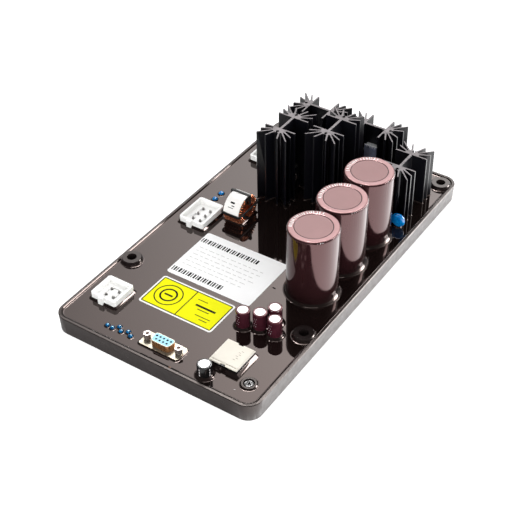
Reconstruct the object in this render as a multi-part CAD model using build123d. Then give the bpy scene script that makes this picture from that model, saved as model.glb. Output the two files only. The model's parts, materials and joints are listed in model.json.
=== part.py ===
from build123d import *
import os
from math import hypot, radians, sqrt, tan

# Automatic voltage regulator for a generator, potted in a shallow moulded tray.
# A circuit board lies under dark resin. Heat sinks, capacitors, headers, a choke
# and a nine-way serial port stand on it and rise through the resin.
# Millimetres. X runs across the tray, Y along it with the serial port at the
# front (-Y), and Z is up from the underside of the tray. A name that ends in
# PLACE, ACROSS or ALONG holds shares of the tray's width and length, measured
# from its middle, so that the layout keeps its proportions in another tray.

# Tray
TRAY_WIDTH = 160.0
TRAY_LENGTH = 281.0
TRAY_HEIGHT = 13.3
TRAY_CORNER = 10.5
TRAY_DRAFT = 0.55  # how far each wall comes in at the underside
RIM_WIDTH = 2.3
RIM_BREAK = 0.35  # small chamfer on both edges of the rim
FLOOR = 2.0

# Mounting posts, moulded in the tray
MOUNT_SIDE_IN = 9.5  # from a post's centre to the side of the tray
MOUNT_FRONT_IN = 73.25
MOUNT_BACK_IN = 12.75
MOUNT_HOLE = 7.0
COLLAR = 14.3
COLLAR_TOP = 15.3
COLLAR_BREAK = 0.5
SHOULDER = 18.0  # wider foot of a post, which carries the board
BRIDGE_WIDTH = 8.0  # web from a post to the tray wall
BRIDGE_TOP = 13.0

# Board and resin
RESIN_TOP = 12.3
BOARD_TOP = 6.15
BOARD_THICKNESS = 1.6
BOARD_EDGE_GAP = 2.8  # board edge to tray wall, at the sides and the front
BOARD_BACK_GAP = 6.0
BOARD_POST_GAP = 0.5
BOARD_CORNER = 4.0

# Heat sinks, cut from one star-finned extrusion
SINK_WIDTH = 25.0
WEB = 1.9
BAR_SPACING = 17.8
BAR = 1.2
FIN_REACH = 12.2  # from a cross bar's centre line to the end of the profile
FIN_ANGLES = (26.0, 44.5, 68.0)  # up from the cross bar
FIN_ROOT = 1.4
FIN_TIP = 0.7
CORE_RADIUS = 5.5
GROOVE = 2.2
GROOVE_OUT = 3.7
GROOVE_MOUTH = 1.0
TALL_TOP = 71.1
SHORT_TOP = 51.7
# Each sink: place, turn of the profile, top height, how its device is held
SINKS = (
    ((-0.1544, 0.2192), 0, TALL_TOP, "screw"),
    ((0.0356, 0.2772), 180, TALL_TOP, "screw"),
    ((-0.1931, 0.4238), -90, SHORT_TOP, "screw"),
    ((0.1081, 0.4235), -90, SHORT_TOP, "clip"),
    ((0.3569, 0.3256), 180, SHORT_TOP, "screw"),
)

# Power devices on the webs
DEVICE_THICKNESS = 5.0
DEVICE_WIDTH = 15.8
DEVICE_HEIGHT = 20.8
DEVICE_FOOT = 11.4
DEVICE_HOLE = 3.6
DEVICE_HOLE_DROP = 6.2  # from the top of the body
DEVICE_BREAK = 0.8
LEAD_PITCH = 5.45
LEAD_WIDTH = 1.2
LEAD_THICKNESS = 0.6
LEAD_OUT = 2.4  # from the web's face
DEVICE_SCREW = 3.0
DEVICE_SCREW_HEAD = 5.6
DEVICE_SCREW_RISE = 2.3
CROSS_LENGTH = 3.2
CROSS_WIDTH = 0.8
CROSS_DEPTH = 1.1

# Five-fingered spring clip on the fourth device
CLIP_WIDTH = 11.2
CLIP_SHIFT = 0.6
CLIP_SHEET = 1.0
CLIP_FOOT = 24.0
CLIP_TOP = 36.2
CLIP_DEVICE_GAP = 0.4
FINGERS = 5
FINGER_PITCH = 2.3
FINGER_WIDTH = 1.4
FINGER_RISE = 2.0
FINGER_LEAN = 0.8

# Large capacitors, in a row that ends before the fifth heat sink
BULK_ACROSS = 0.32
BULK_SINK_GAP = 4.8
BULK_GAP = 1.15
BULK_DIAMETER = 35.5
BULK_TOP = 66.2
BULK_SHOULDER = 1.5
BULK_SLEEVE = 0.4
BULK_LIP_HOLE = 25.2
BULK_DISC_THICKNESS = 0.25

# Small capacitors
SMALL_DIAMETER = 9.8
SMALL_TOP = 26.7
SMALL_SHOULDER = 0.7
SMALL_SLEEVE = 0.25
SMALL_LIP_HOLE = 8.2
SMALL_VENT_WIDTH = 0.35
SMALL_VENT_DEPTH = 0.2
SMALL_PLACES = ((0.2019, -0.2865), (0.2681, -0.2719), (0.3031, -0.2395), (0.3406, -0.2730))
BLACK_TOP = 22.4
BLACK_PLACE = (0.2338, -0.4641)

# Nine-way serial port
PORT_PLACE = (0.0031, -0.4434)
FLANGE_LENGTH = 31.2
FLANGE_WIDTH = 12.4
FLANGE_CORNER = 1.8
FLANGE_TOP = 13.3
D_LENGTH = 16.3
D_WIDTH = 7.9
D_CORNER = 2.2
D_SLANT = 10.0
D_WALL = 0.4
PORT_TOP = 18.3
PORT_BODY_LENGTH = 18.4
PORT_BODY_WIDTH = 10.2
CONTACT_PITCH = 2.77
CONTACT_ROWS = 2.84
CONTACT_HOLE = 1.5
CONTACT_HOLE_DEPTH = 4.5
CONTACT_RISE = 2.0
LOCK_SPACING = 25.0
LOCK_FLATS = 4.8
LOCK_COLLAR = 4.2
LOCK_COLLAR_RISE = 1.2
LOCK_TOP = 18.0
LOCK_BORE = 2.6
LOCK_BORE_DEPTH = 3.5
LOCK_SHANK = 3.0

# White pin headers
PIN_PITCH = 6.35
PIN = 1.5
PIN_TOP = 15.6
PIN_POCKET = 2.4
PIN_POCKET_DEPTH = 1.4
HEADER_MARGIN = 7.3  # from the outer pins to the outside
HEADER_WALL = 1.6
HEADER_TOP = 18.0
HEADER_FLOOR = 13.8
HEADER_CORNER = 1.2
LATCH_WIDTH = 3.9
LATCH_REACH = 1.7
LATCH_SHIFT = -0.85
SLOT_WIDTH = 1.1
HEADER_ACROSS = -0.365
FOUR_WAY_ALONG = -0.3673
FOUR_WAY_ROWS = 2
SIX_WAY_ALONG = -0.00285
SIX_WAY_ROWS = 3
REAR_SINK_GAP = 1.95  # third header to the third heat sink

# Toroidal choke, standing on edge with its axis along X
CHOKE_PLACE = (-0.2219, 0.0552)
CHOKE_Z = 19.5
CORE_OUTER = 10.8  # radii
CORE_INNER = 7.6
CORE_LENGTH = 12.6
WIRE = 1.2
WIRE_CORNER = 0.9
TURN_WIDTH = 1.05
TURN_STEP = 10.0
TURNS_PER_BANK = 15
BANK_STARTS = (-70.0, 110.0)  # first turn's angle from +Y, one bank on each side
TAPE = 0.4
TAPE_START = 60.0
TAPE_END = 195.0
STRAP = 0.8
STRAP_WIDTH = 1.9
STRAP_RISE = 1.5  # the level strap's height over the choke's centre
BAND_ANGLE = 82.0
BAND_CLEARANCE = 0.25  # a flat band on a round bore touches only at its edges

# Sealed module with a cream top
MODULE_PLACE = (0.2778, -0.3929)
MODULE_WIDTH = 20.9
MODULE_LENGTH = 21.3
MODULE_TOP = 17.0
COVER_THICKNESS = 0.9
COVER_NOTCH_SHIFT = -0.25  # off the cover's middle line
COVER_NOTCH_WIDTH = 3.8
COVER_NOTCH_DEPTH = 1.1
COVER_LINE = 0.3
COVER_LINE_DEPTH = 0.25
COVER_LINE_IN = 2.0  # from the front edge
COVER_SIDE_LINE_IN = 0.8  # from the right edge

# Small blue capacitors and the blue disc
BEAD = 3.3
BEAD_TOP = 14.2
BEAD_BREAK = 0.9
BEAD_ROW = (
    (-0.2631, -0.4577),
    (-0.2363, -0.4587),
    (-0.2144, -0.4470),
    (-0.1938, -0.4569),
    (-0.1663, -0.4495),
    (-0.1431, -0.4577),
)
BUTTON = 4.5
BUTTON_TOP = 14.4
BUTTON_PAIR = ((-0.3906, 0.1064), (-0.3900, 0.0769))
DISC_ACROSS = 0.4175
DISC_SINK_GAP = 1.9  # disc to the fifth heat sink
DISC = 11.2
DISC_THICKNESS = 4.0
DISC_EDGE = 1.3
DISC_LEAD = 0.8
DISC_LEAD_PITCH = 5.0
DISC_LEAD_INSIDE = 2.0

# Tray screw in its own collar
SCREW_PLACE = (0.4063, -0.4352)
SCREW_COLLAR = 9.9
SCREW_COLLAR_TOP = 13.5
SCREW_RECESS = 7.4
SCREW_RECESS_DEPTH = 2.6
SCREW_HEAD = 6.6
SCREW_HEAD_RISE = 2.2
SCREW_SHANK = 3.5
SCREW_SHANK_FOOT = 4.0
SCREW_DOME = 0.8

# Labels, lying on the resin
LABEL = 0.15
LABEL_CORNER = 2.0
LABEL_GAP = 4.4  # between the two labels
DATA_LABEL_PLACE = (-0.0572, -0.1372)
DATA_LABEL_WIDTH = 68.3
DATA_LABEL_LENGTH = 50.1
FIELD_LABEL_ACROSS = -0.0716
FIELD_LABEL_WIDTH = 59.5
FIELD_LABEL_LENGTH = 30.1


def spot(place):
    """Point on the tray from its shares of the tray's width and length."""
    across, along = place
    return across * TRAY_WIDTH, along * TRAY_LENGTH


BOARD_FOOT = BOARD_TOP - BOARD_THICKNESS
INNER_WIDTH = TRAY_WIDTH - 2 * RIM_WIDTH
INNER_LENGTH = TRAY_LENGTH - 2 * RIM_WIDTH
HEADER_X = HEADER_ACROSS * TRAY_WIDTH
PORT_X, PORT_Y = spot(PORT_PLACE)
CHOKE_X, CHOKE_Y = spot(CHOKE_PLACE)
MODULE_X, MODULE_Y = spot(MODULE_PLACE)
SCREW_X, SCREW_Y = spot(SCREW_PLACE)
ON_BASE = (Align.CENTER, Align.CENTER, Align.MIN)


def bar(x, y, diameter, low, high):
    """Upright round bar between two heights."""
    return Pos(x, y, low) * Cylinder(diameter / 2, high - low, align=ON_BASE)


def block(x, y, width, length, low, high):
    """Upright block between two heights."""
    return Pos(x, y, low) * Box(width, length, high - low, align=ON_BASE)


def plate(x, y, width, length, corner, low, high):
    """Flat plate with round corners between two heights."""
    return extrude(Pos(x, y, low) * RectangleRounded(width, length, corner), high - low)


def cross(width, length, depth):
    """Cross recess, cut down from the XY plane."""
    arm = Pos(0, 0, -depth) * Box(length, width, 2 * depth, align=ON_BASE)
    return arm + Rot(0, 0, 90) * arm


# Tray, board and resin


def mount_places():
    """Centres of the four mounting posts."""
    side_x = TRAY_WIDTH / 2 - MOUNT_SIDE_IN
    front = MOUNT_FRONT_IN - TRAY_LENGTH / 2
    back = TRAY_LENGTH / 2 - MOUNT_BACK_IN
    return [(side * side_x, y) for side in (-1, 1) for y in (front, back)]


def tray_outline(inset, height):
    """Rounded outline of the tray, drawn in by an inset, at a height."""
    return Pos(0, 0, height) * RectangleRounded(
        TRAY_WIDTH - 2 * inset, TRAY_LENGTH - 2 * inset, TRAY_CORNER - inset
    )


def tray_dish():
    """Dish with leaning walls and a broken rim, before the posts."""
    foot = tray_outline(TRAY_DRAFT, 0)
    shoulder = tray_outline(0, TRAY_HEIGHT - RIM_BREAK)
    rim = tray_outline(RIM_BREAK, TRAY_HEIGHT)
    dish = loft([foot, shoulder, rim], ruled=True) - cavity(TRAY_HEIGHT)
    inside_edge = dish.faces().sort_by(Axis.Z)[-1].inner_wires()[0].edges()
    return chamfer(inside_edge, RIM_BREAK)


def cavity(top):
    """Space inside the tray, from its floor up to a height."""
    return plate(0, 0, INNER_WIDTH, INNER_LENGTH, TRAY_CORNER - RIM_WIDTH, FLOOR, top)


def mount_post(x, y):
    """Post with a collar over the resin, a foot under the board and a web to the wall."""
    collar = bar(x, y, COLLAR, FLOOR, COLLAR_TOP)
    collar = chamfer(collar.faces().sort_by(Axis.Z)[-1].edges(), COLLAR_BREAK)
    shoulder = bar(x, y, SHOULDER, FLOOR, BOARD_FOOT) & cavity(BOARD_FOOT)
    side = 1 if x > 0 else -1
    wall = side * (TRAY_WIDTH - RIM_WIDTH) / 2
    bridge = block((x + wall) / 2, y, abs(wall - x), BRIDGE_WIDTH, FLOOR, BRIDGE_TOP)
    return collar + shoulder + bridge


def tray():
    """Moulded tray with its four posts and the collar of the tray screw."""
    body = tray_dish()
    for x, y in mount_places():
        body += mount_post(x, y)
        body -= bar(x, y, MOUNT_HOLE, -TRAY_HEIGHT, 2 * TRAY_HEIGHT)
    body += bar(SCREW_X, SCREW_Y, SCREW_COLLAR, FLOOR, SCREW_COLLAR_TOP)
    seat = SCREW_COLLAR_TOP - SCREW_RECESS_DEPTH
    body -= bar(SCREW_X, SCREW_Y, SCREW_RECESS, seat, SCREW_COLLAR_TOP)
    body -= bar(SCREW_X, SCREW_Y, SCREW_SHANK, SCREW_SHANK_FOOT, seat)
    return body


def circuit_board():
    """Board on the shoulders of the posts, notched round them."""
    front = -INNER_LENGTH / 2 + BOARD_EDGE_GAP
    back = INNER_LENGTH / 2 - BOARD_BACK_GAP
    width = INNER_WIDTH - 2 * BOARD_EDGE_GAP
    middle = (front + back) / 2
    body = plate(0, middle, width, back - front, BOARD_CORNER, BOARD_FOOT, BOARD_TOP)
    for x, y in mount_places():
        body -= bar(x, y, COLLAR + 2 * BOARD_POST_GAP, 0, TRAY_HEIGHT)
    return body - bar(SCREW_X, SCREW_Y, SCREW_COLLAR + 2 * BOARD_POST_GAP, 0, TRAY_HEIGHT)


def potting(tray_body, buried):
    """Resin round the board and the feet of all that stands on it."""
    posts = [bar(x, y, COLLAR, 0, TRAY_HEIGHT) for x, y in mount_places()]
    posts.append(bar(SCREW_X, SCREW_Y, SCREW_COLLAR, 0, TRAY_HEIGHT))
    return cavity(RESIN_TOP) - [tray_body, *posts, *buried]


def tray_screw():
    """Cross-recessed screw down in its collar."""
    seat = SCREW_COLLAR_TOP - SCREW_RECESS_DEPTH
    top = seat + SCREW_HEAD_RISE
    head = bar(SCREW_X, SCREW_Y, SCREW_HEAD, seat, top)
    head = fillet(head.faces().sort_by(Axis.Z)[-1].edges(), SCREW_DOME)
    head -= Pos(SCREW_X, SCREW_Y, top) * cross(CROSS_WIDTH, CROSS_LENGTH, CROSS_DEPTH)
    return head + bar(SCREW_X, SCREW_Y, SCREW_SHANK, SCREW_SHANK_FOOT, seat)


# Heat sinks and what is fixed to them


def sink_end():
    """One star end: a cross bar on the X axis, with a core and fins above it."""
    core = Circle(CORE_RADIUS) & Pos(0, CORE_RADIUS / 2) * Rectangle(2 * CORE_RADIUS, CORE_RADIUS)
    end = Rectangle(SINK_WIDTH, BAR) + core
    fin = make_face(
        Polyline(
            (0, -FIN_ROOT / 2),
            (SINK_WIDTH, -FIN_TIP / 2),
            (SINK_WIDTH, FIN_TIP / 2),
            (0, FIN_ROOT / 2),
            close=True,
        )
    )
    for angle in FIN_ANGLES:
        end += Rot(0, 0, angle) * fin
        end += Rot(0, 0, 180 - angle) * fin
    outline = Pos(0, (FIN_REACH - BAR / 2) / 2) * Rectangle(SINK_WIDTH, FIN_REACH + BAR / 2)
    groove = Pos(0, GROOVE_OUT) * Circle(GROOVE / 2)
    mouth = Pos(0, (GROOVE_OUT + FIN_REACH) / 2) * Rectangle(GROOVE_MOUTH, FIN_REACH - GROOVE_OUT)
    return (end & outline) - groove - mouth


def sink_profile():
    """Whole profile, with its web along Y."""
    end = Pos(0, BAR_SPACING / 2) * sink_end()
    return Rectangle(WEB, BAR_SPACING) + end + Rot(0, 0, 180) * end


def sink_place(spec):
    """Place of a sink: its web's centre, with the device side turned to local +X."""
    place, turn, _, _ = spec
    return Pos(*spot(place), 0) * Rot(0, 0, turn)


def sink_front(spec):
    """Front end of a sink, along the tray."""
    place, turn, _, _ = spec
    half = SINK_WIDTH / 2 if turn % 180 else BAR_SPACING / 2 + FIN_REACH
    return spot(place)[1] - half


def along_web_axis(diameter, start, end, height):
    """Round bar across the web, along local X, between two distances."""
    rod = Cylinder(diameter / 2, end - start, align=ON_BASE)
    return Pos(start, 0, height) * Rot(0, 90, 0) * rod


def device_hole_height():
    """Height of the hole in a power device."""
    return DEVICE_FOOT + DEVICE_HEIGHT - DEVICE_HOLE_DROP


def heat_sink(spec, profile):
    """Length of the extrusion standing on the board, drilled where a screw goes."""
    _, _, top, fixing = spec
    body = extrude(Pos(0, 0, BOARD_TOP) * profile, top - BOARD_TOP)
    if fixing == "screw":
        body -= along_web_axis(DEVICE_SCREW, -WEB, WEB, device_hole_height())
    return sink_place(spec) * body


def power_device(spec):
    """Moulded device flat on the web, with three leads down to the board."""
    face = WEB / 2
    top = DEVICE_FOOT + DEVICE_HEIGHT
    middle = face + DEVICE_THICKNESS / 2
    body = block(middle, 0, DEVICE_THICKNESS, DEVICE_WIDTH, DEVICE_FOOT, top)
    body = chamfer(body.faces().sort_by(Axis.X)[-1].edges(), DEVICE_BREAK)
    body -= along_web_axis(DEVICE_HOLE, face, face + DEVICE_THICKNESS, device_hole_height())
    for step in (-1, 0, 1):
        body += block(
            face + LEAD_OUT, step * LEAD_PITCH, LEAD_THICKNESS, LEAD_WIDTH, BOARD_TOP, DEVICE_FOOT
        )
    return sink_place(spec) * body


def device_screw(spec):
    """Screw through a power device into the web behind it."""
    seat = WEB / 2 + DEVICE_THICKNESS
    height = device_hole_height()
    head = along_web_axis(DEVICE_SCREW_HEAD, seat, seat + DEVICE_SCREW_RISE, height)
    head = chamfer(head.faces().sort_by(Axis.X)[-1].edges(), DEVICE_SCREW_RISE / 4)
    recess = cross(CROSS_WIDTH, CROSS_LENGTH, CROSS_DEPTH)
    head -= Pos(seat + DEVICE_SCREW_RISE, 0, height) * Rot(0, 90, 0) * recess
    return sink_place(spec) * (head + along_web_axis(DEVICE_SCREW, -WEB / 2, seat, height))


def device_clip(spec):
    """Folded spring clip over the top of a device, with fingers along its front edge."""
    back = WEB / 2
    front = back + DEVICE_THICKNESS
    leg_foot = DEVICE_FOOT + DEVICE_HEIGHT + CLIP_DEVICE_GAP
    outer = front + CLIP_SHEET
    strip = make_face(
        Plane.XZ
        * Polyline(
            (back, leg_foot),
            (back + CLIP_SHEET, leg_foot),
            (back + CLIP_SHEET, CLIP_TOP - CLIP_SHEET),
            (front, CLIP_TOP - CLIP_SHEET),
            (front, CLIP_FOOT),
            (outer, CLIP_FOOT),
            (outer, CLIP_TOP),
            (back, CLIP_TOP),
            close=True,
        )
    )
    finger = make_face(
        Plane.XZ
        * Polyline(
            (front, CLIP_TOP),
            (outer, CLIP_TOP),
            (outer + FINGER_LEAN, CLIP_TOP + FINGER_RISE),
            (front + FINGER_LEAN, CLIP_TOP + FINGER_RISE),
            close=True,
        )
    )
    body = extrude(strip, CLIP_WIDTH / 2, both=True)
    for index in range(FINGERS):
        shift = (index - (FINGERS - 1) / 2) * FINGER_PITCH
        body += Pos(0, shift, 0) * extrude(finger, FINGER_WIDTH / 2, both=True)
    return sink_place(spec) * Pos(0, CLIP_SHIFT, 0) * body


# Capacitors


def can(x, y, diameter, top, sleeve, shoulder):
    """Drawn can inside its sleeve, with a rounded upper edge."""
    body = bar(x, y, diameter - 2 * sleeve, BOARD_TOP, top - sleeve)
    return fillet(body.faces().sort_by(Axis.Z)[-1].edges(), shoulder - sleeve)


def shrink_sleeve(x, y, diameter, top, sleeve, shoulder, lip_hole):
    """Shrunk sleeve round a can, curled in over its top edge."""
    body = bar(x, y, diameter, BOARD_TOP, top)
    body = fillet(body.faces().sort_by(Axis.Z)[-1].edges(), shoulder)
    body -= can(x, y, diameter, top, sleeve, shoulder)
    return body - bar(x, y, lip_hole, BOARD_TOP, top)


def bulk_places():
    """Centres of the large capacitors, front to back."""
    last = sink_front(SINKS[4]) - BULK_SINK_GAP - BULK_DIAMETER / 2
    pitch = BULK_DIAMETER + BULK_GAP
    return [(BULK_ACROSS * TRAY_WIDTH, last - step * pitch) for step in (2, 1, 0)]


def bulk_disc(x, y):
    """Top disc of a large capacitor, just below its sleeve's lip."""
    seat = BULK_TOP - BULK_SLEEVE
    return bar(x, y, BULK_LIP_HOLE, seat, seat + BULK_DISC_THICKNESS)


def small_can(x, y, top):
    """Can of a small capacitor, with a cross-shaped vent score."""
    face = top - SMALL_SLEEVE
    body = can(x, y, SMALL_DIAMETER, top, SMALL_SLEEVE, SMALL_SHOULDER)
    score = cross(SMALL_VENT_WIDTH, SMALL_LIP_HOLE / 2, SMALL_VENT_DEPTH)
    return body - Pos(x, y, face) * score


def small_sleeve(x, y, top):
    """Sleeve of a small capacitor."""
    return shrink_sleeve(
        x, y, SMALL_DIAMETER, top, SMALL_SLEEVE, SMALL_SHOULDER, SMALL_LIP_HOLE
    )


# Serial port


def d_shape(inset):
    """D outline of the port, wide side to the back, drawn in by an inset."""
    half_length = D_LENGTH / 2 - inset
    half_width = D_WIDTH / 2 - inset
    run = 2 * half_width * tan(radians(D_SLANT))
    outline = make_face(
        Polyline(
            (-half_length, half_width),
            (half_length, half_width),
            (half_length - run, -half_width),
            (-half_length + run, -half_width),
            close=True,
        )
    )
    return fillet(outline.vertices(), D_CORNER - inset)


def port_prism(inset, low, high):
    """D-shaped prism of the port between two heights."""
    return extrude(Pos(PORT_X, PORT_Y, low) * d_shape(inset), high - low)


def contact_places():
    """Five contacts in the back row and four in the front one."""
    back = [(PORT_X + step * CONTACT_PITCH, PORT_Y + CONTACT_ROWS / 2) for step in range(-2, 3)]
    front = [
        (PORT_X + (step + 0.5) * CONTACT_PITCH, PORT_Y - CONTACT_ROWS / 2) for step in range(-2, 2)
    ]
    return back + front


def lock_places():
    """Centres of the two screw locks."""
    return [(PORT_X + side * LOCK_SPACING / 2, PORT_Y) for side in (-1, 1)]


def port_shell():
    """Plated flange with the D-shaped shroud drawn up from it."""
    flange = plate(
        PORT_X, PORT_Y, FLANGE_LENGTH, FLANGE_WIDTH, FLANGE_CORNER, RESIN_TOP, FLANGE_TOP
    )
    body = flange + port_prism(0, FLANGE_TOP, PORT_TOP) - port_prism(D_WALL, RESIN_TOP, PORT_TOP)
    for x, y in lock_places():
        body -= bar(x, y, LOCK_SHANK, RESIN_TOP, FLANGE_TOP)
    return body


def port_insert():
    """Moulded insert that fills the shroud, on a body down to the board."""
    body = port_prism(D_WALL, RESIN_TOP, PORT_TOP)
    body += block(PORT_X, PORT_Y, PORT_BODY_LENGTH, PORT_BODY_WIDTH, BOARD_TOP, RESIN_TOP)
    for x, y in contact_places():
        body -= bar(x, y, CONTACT_HOLE, PORT_TOP - CONTACT_HOLE_DEPTH, PORT_TOP)
    return body


def port_contact(x, y):
    """Socket contact at the bottom of its hole."""
    foot = PORT_TOP - CONTACT_HOLE_DEPTH
    return bar(x, y, CONTACT_HOLE, foot, foot + CONTACT_RISE)


def port_lock(x, y):
    """Hexagonal screw lock on a round collar, with its shank down to the board."""
    hexagon = RegularPolygon(LOCK_FLATS / sqrt(3), 6)
    shoulder = FLANGE_TOP + LOCK_COLLAR_RISE
    body = extrude(Pos(x, y, shoulder) * hexagon, LOCK_TOP - shoulder)
    body += bar(x, y, LOCK_COLLAR, FLANGE_TOP, shoulder)
    body += bar(x, y, LOCK_SHANK, BOARD_TOP, FLANGE_TOP)
    return body - bar(x, y, LOCK_BORE, LOCK_TOP - LOCK_BORE_DEPTH, LOCK_TOP)


# White headers


def header_length(rows):
    """Length of a header along the tray, without its latch."""
    return (rows - 1) * PIN_PITCH + 2 * HEADER_MARGIN


def headers():
    """Name, centre along the tray and pin rows of each header."""
    rear = sink_front(SINKS[2]) - REAR_SINK_GAP - header_length(SIX_WAY_ROWS) / 2
    return (
        ("4way", FOUR_WAY_ALONG * TRAY_LENGTH, FOUR_WAY_ROWS),
        ("6way", SIX_WAY_ALONG * TRAY_LENGTH, SIX_WAY_ROWS),
        ("rear", rear, SIX_WAY_ROWS),
    )


def pin_places(y, rows):
    """Centres of a header's pins, two across and a number of rows along."""
    return [
        (HEADER_X + side * PIN_PITCH / 2, y + (row - (rows - 1) / 2) * PIN_PITCH)
        for side in (-1, 1)
        for row in range(rows)
    ]


def header_housing(y, rows):
    """Open shroud with a latch rib and a slot in its front wall."""
    width = PIN_PITCH + 2 * HEADER_MARGIN
    length = header_length(rows)
    body = block(HEADER_X, y, width, length, BOARD_TOP, HEADER_TOP)
    body = chamfer(body.edges().filter_by(Axis.Z), HEADER_CORNER)
    inside = (width - 2 * HEADER_WALL, length - 2 * HEADER_WALL)
    body -= block(HEADER_X, y, *inside, HEADER_FLOOR, HEADER_TOP)
    for x, pin_y in pin_places(y, rows):
        body -= bar(x, pin_y, PIN_POCKET, HEADER_FLOOR - PIN_POCKET_DEPTH, HEADER_FLOOR)
        body -= bar(x, pin_y, PIN, BOARD_TOP, HEADER_FLOOR)
    front = y - length / 2
    latch_x = HEADER_X + LATCH_SHIFT
    latch_y = front - LATCH_REACH / 2
    body += block(latch_x, latch_y, LATCH_WIDTH, LATCH_REACH, BOARD_TOP, HEADER_TOP)
    slot_x = latch_x + (LATCH_WIDTH + SLOT_WIDTH) / 2
    slot_y = front + HEADER_WALL / 2
    return body - block(slot_x, slot_y, SLOT_WIDTH, HEADER_WALL, HEADER_FLOOR, HEADER_TOP)


def header_pins(y, rows):
    """Round pins of one header."""
    return [
        chamfer(pin.faces().sort_by(Axis.Z)[-1].edges(), PIN / 5)
        for pin in (bar(x, pin_y, PIN, BOARD_TOP, PIN_TOP) for x, pin_y in pin_places(y, rows))
    ]


# Choke


def choke_place():
    """Centre of the choke, with its axis turned from local Z to X and local X to +Y."""
    return Pos(CHOKE_X, CHOKE_Y, CHOKE_Z) * Plane(
        origin=(0, 0, 0), x_dir=(0, 1, 0), z_dir=(1, 0, 0)
    ).location


def ring(outer, inner, length):
    """Ring about the choke's own axis."""
    return Cylinder(outer, length) - Cylinder(inner, length)


def choke_core():
    """Ferrite ring."""
    return choke_place() * ring(CORE_OUTER, CORE_INNER, CORE_LENGTH)


def choke_winding():
    """Two banks of turns; what lies in the resin is one closed band on two short leads."""
    outer = CORE_OUTER + WIRE
    length = CORE_LENGTH + 2 * WIRE
    core = ring(CORE_OUTER, CORE_INNER, CORE_LENGTH)
    depth = outer - CORE_INNER + WIRE
    turn = Pos(CORE_INNER - WIRE + depth / 2, 0, 0) * Box(depth, TURN_WIDTH, length)
    turn = chamfer(turn.edges().filter_by(Axis.Y), WIRE_CORNER)
    turn -= core
    turns = [
        Rot(0, 0, start + index * TURN_STEP) * turn
        for start in BANK_STARTS
        for index in range(TURNS_PER_BANK)
    ]
    under = RESIN_TOP - CHOKE_Z
    resin_side = Pos(0, under - outer, 0) * Box(4 * outer, 2 * outer, 2 * length)
    above = [piece - resin_side for piece in turns]
    band = (ring(outer, CORE_INNER - WIRE, length) & resin_side) - core
    leads = [
        bar(CHOKE_X + side * CORE_LENGTH / 2, CHOKE_Y, WIRE, BOARD_TOP, CHOKE_Z - CORE_OUTER)
        for side in (-1, 1)
    ]
    kept = [piece for piece in above if piece.volume > 0]
    return choke_place() * (band + kept) + leads


def tape_seat():
    """Radius over the corners of the flat turns, where the tape lies."""
    return hypot(CORE_OUTER + WIRE, TURN_WIDTH / 2)


def choke_tape():
    """White tape over the front and top of the ring."""
    outer = tape_seat()
    length = CORE_LENGTH + 2 * (WIRE - WIRE_CORNER)
    arc = CenterArc((0, 0), outer + TAPE, TAPE_START, TAPE_END - TAPE_START)
    wedge = make_face([arc, Line(arc @ 1, (0, 0)), Line((0, 0), arc @ 0)])
    body = extrude(wedge, length / 2, both=True) - Cylinder(outer, 2 * length)
    return choke_place() * body


def choke_strap():
    """Level strap round the outside, and a band through the bore over the top."""
    length = CORE_LENGTH + 2 * WIRE
    front = CHOKE_Y - tape_seat() - TAPE
    back = CHOKE_Y + tape_seat()
    middle = (front + back) / 2
    span = back - front
    low = CHOKE_Z + STRAP_RISE - STRAP_WIDTH / 2
    high = low + STRAP_WIDTH
    inner = plate(CHOKE_X, middle, length, span, WIRE_CORNER, low, high)
    level = plate(
        CHOKE_X, middle, length + 2 * STRAP, span + 2 * STRAP, WIRE_CORNER + STRAP, low, high
    )
    near = CORE_INNER - WIRE - BAND_CLEARANCE
    far = tape_seat() + TAPE
    centre = Pos((near + far) / 2, 0, 0)
    hollow = centre * Box(far - near, STRAP_WIDTH, length)
    around = centre * Box(far - near + 2 * STRAP, STRAP_WIDTH, length + 2 * STRAP)
    band = choke_place() * Rot(0, 0, BAND_ANGLE) * (around - hollow)
    return [level - inner, band]


# Other parts on the board


def module_body():
    """Sealed body of the module, under its cover."""
    return block(
        MODULE_X, MODULE_Y, MODULE_WIDTH, MODULE_LENGTH, BOARD_TOP, MODULE_TOP - COVER_THICKNESS
    )


def module_cover():
    """Thin cover with two edge notches and two fine grooves."""
    front = MODULE_Y - MODULE_LENGTH / 2
    back = MODULE_Y + MODULE_LENGTH / 2
    right = MODULE_X + MODULE_WIDTH / 2
    low = MODULE_TOP - COVER_THICKNESS
    body = block(MODULE_X, MODULE_Y, MODULE_WIDTH, MODULE_LENGTH, low, MODULE_TOP)
    notch_x = MODULE_X + COVER_NOTCH_SHIFT
    for edge in (front, back):
        body -= block(notch_x, edge, COVER_NOTCH_WIDTH, 2 * COVER_NOTCH_DEPTH, low, MODULE_TOP)
    groove = MODULE_TOP - COVER_LINE_DEPTH
    body -= block(
        MODULE_X, front + COVER_LINE_IN, MODULE_WIDTH, COVER_LINE, groove, MODULE_TOP
    )
    body -= block(
        right - COVER_SIDE_LINE_IN, MODULE_Y, COVER_LINE, MODULE_LENGTH, groove, MODULE_TOP
    )
    return body


def bead(x, y, diameter, top):
    """Small dipped capacitor on the board, with a tapered top."""
    body = bar(x, y, diameter, BOARD_TOP, top)
    return chamfer(body.faces().sort_by(Axis.Z)[-1].edges(), BEAD_BREAK)


def blue_disc():
    """Dipped disc standing on two leads, facing the front."""
    x = DISC_ACROSS * TRAY_WIDTH
    y = sink_front(SINKS[4]) - DISC_SINK_GAP - DISC_THICKNESS / 2
    body = Rot(90, 0, 0) * Cylinder(DISC / 2, DISC_THICKNESS)
    body = fillet(body.edges().filter_by(GeomType.CIRCLE), DISC_EDGE)
    body = Pos(x, y, RESIN_TOP + DISC / 2) * body
    for side in (-1, 1):
        lead_x = x + side * DISC_LEAD_PITCH / 2
        body += bar(lead_x, y, DISC_LEAD, BOARD_TOP, RESIN_TOP + DISC_LEAD_INSIDE)
    return body


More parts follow.
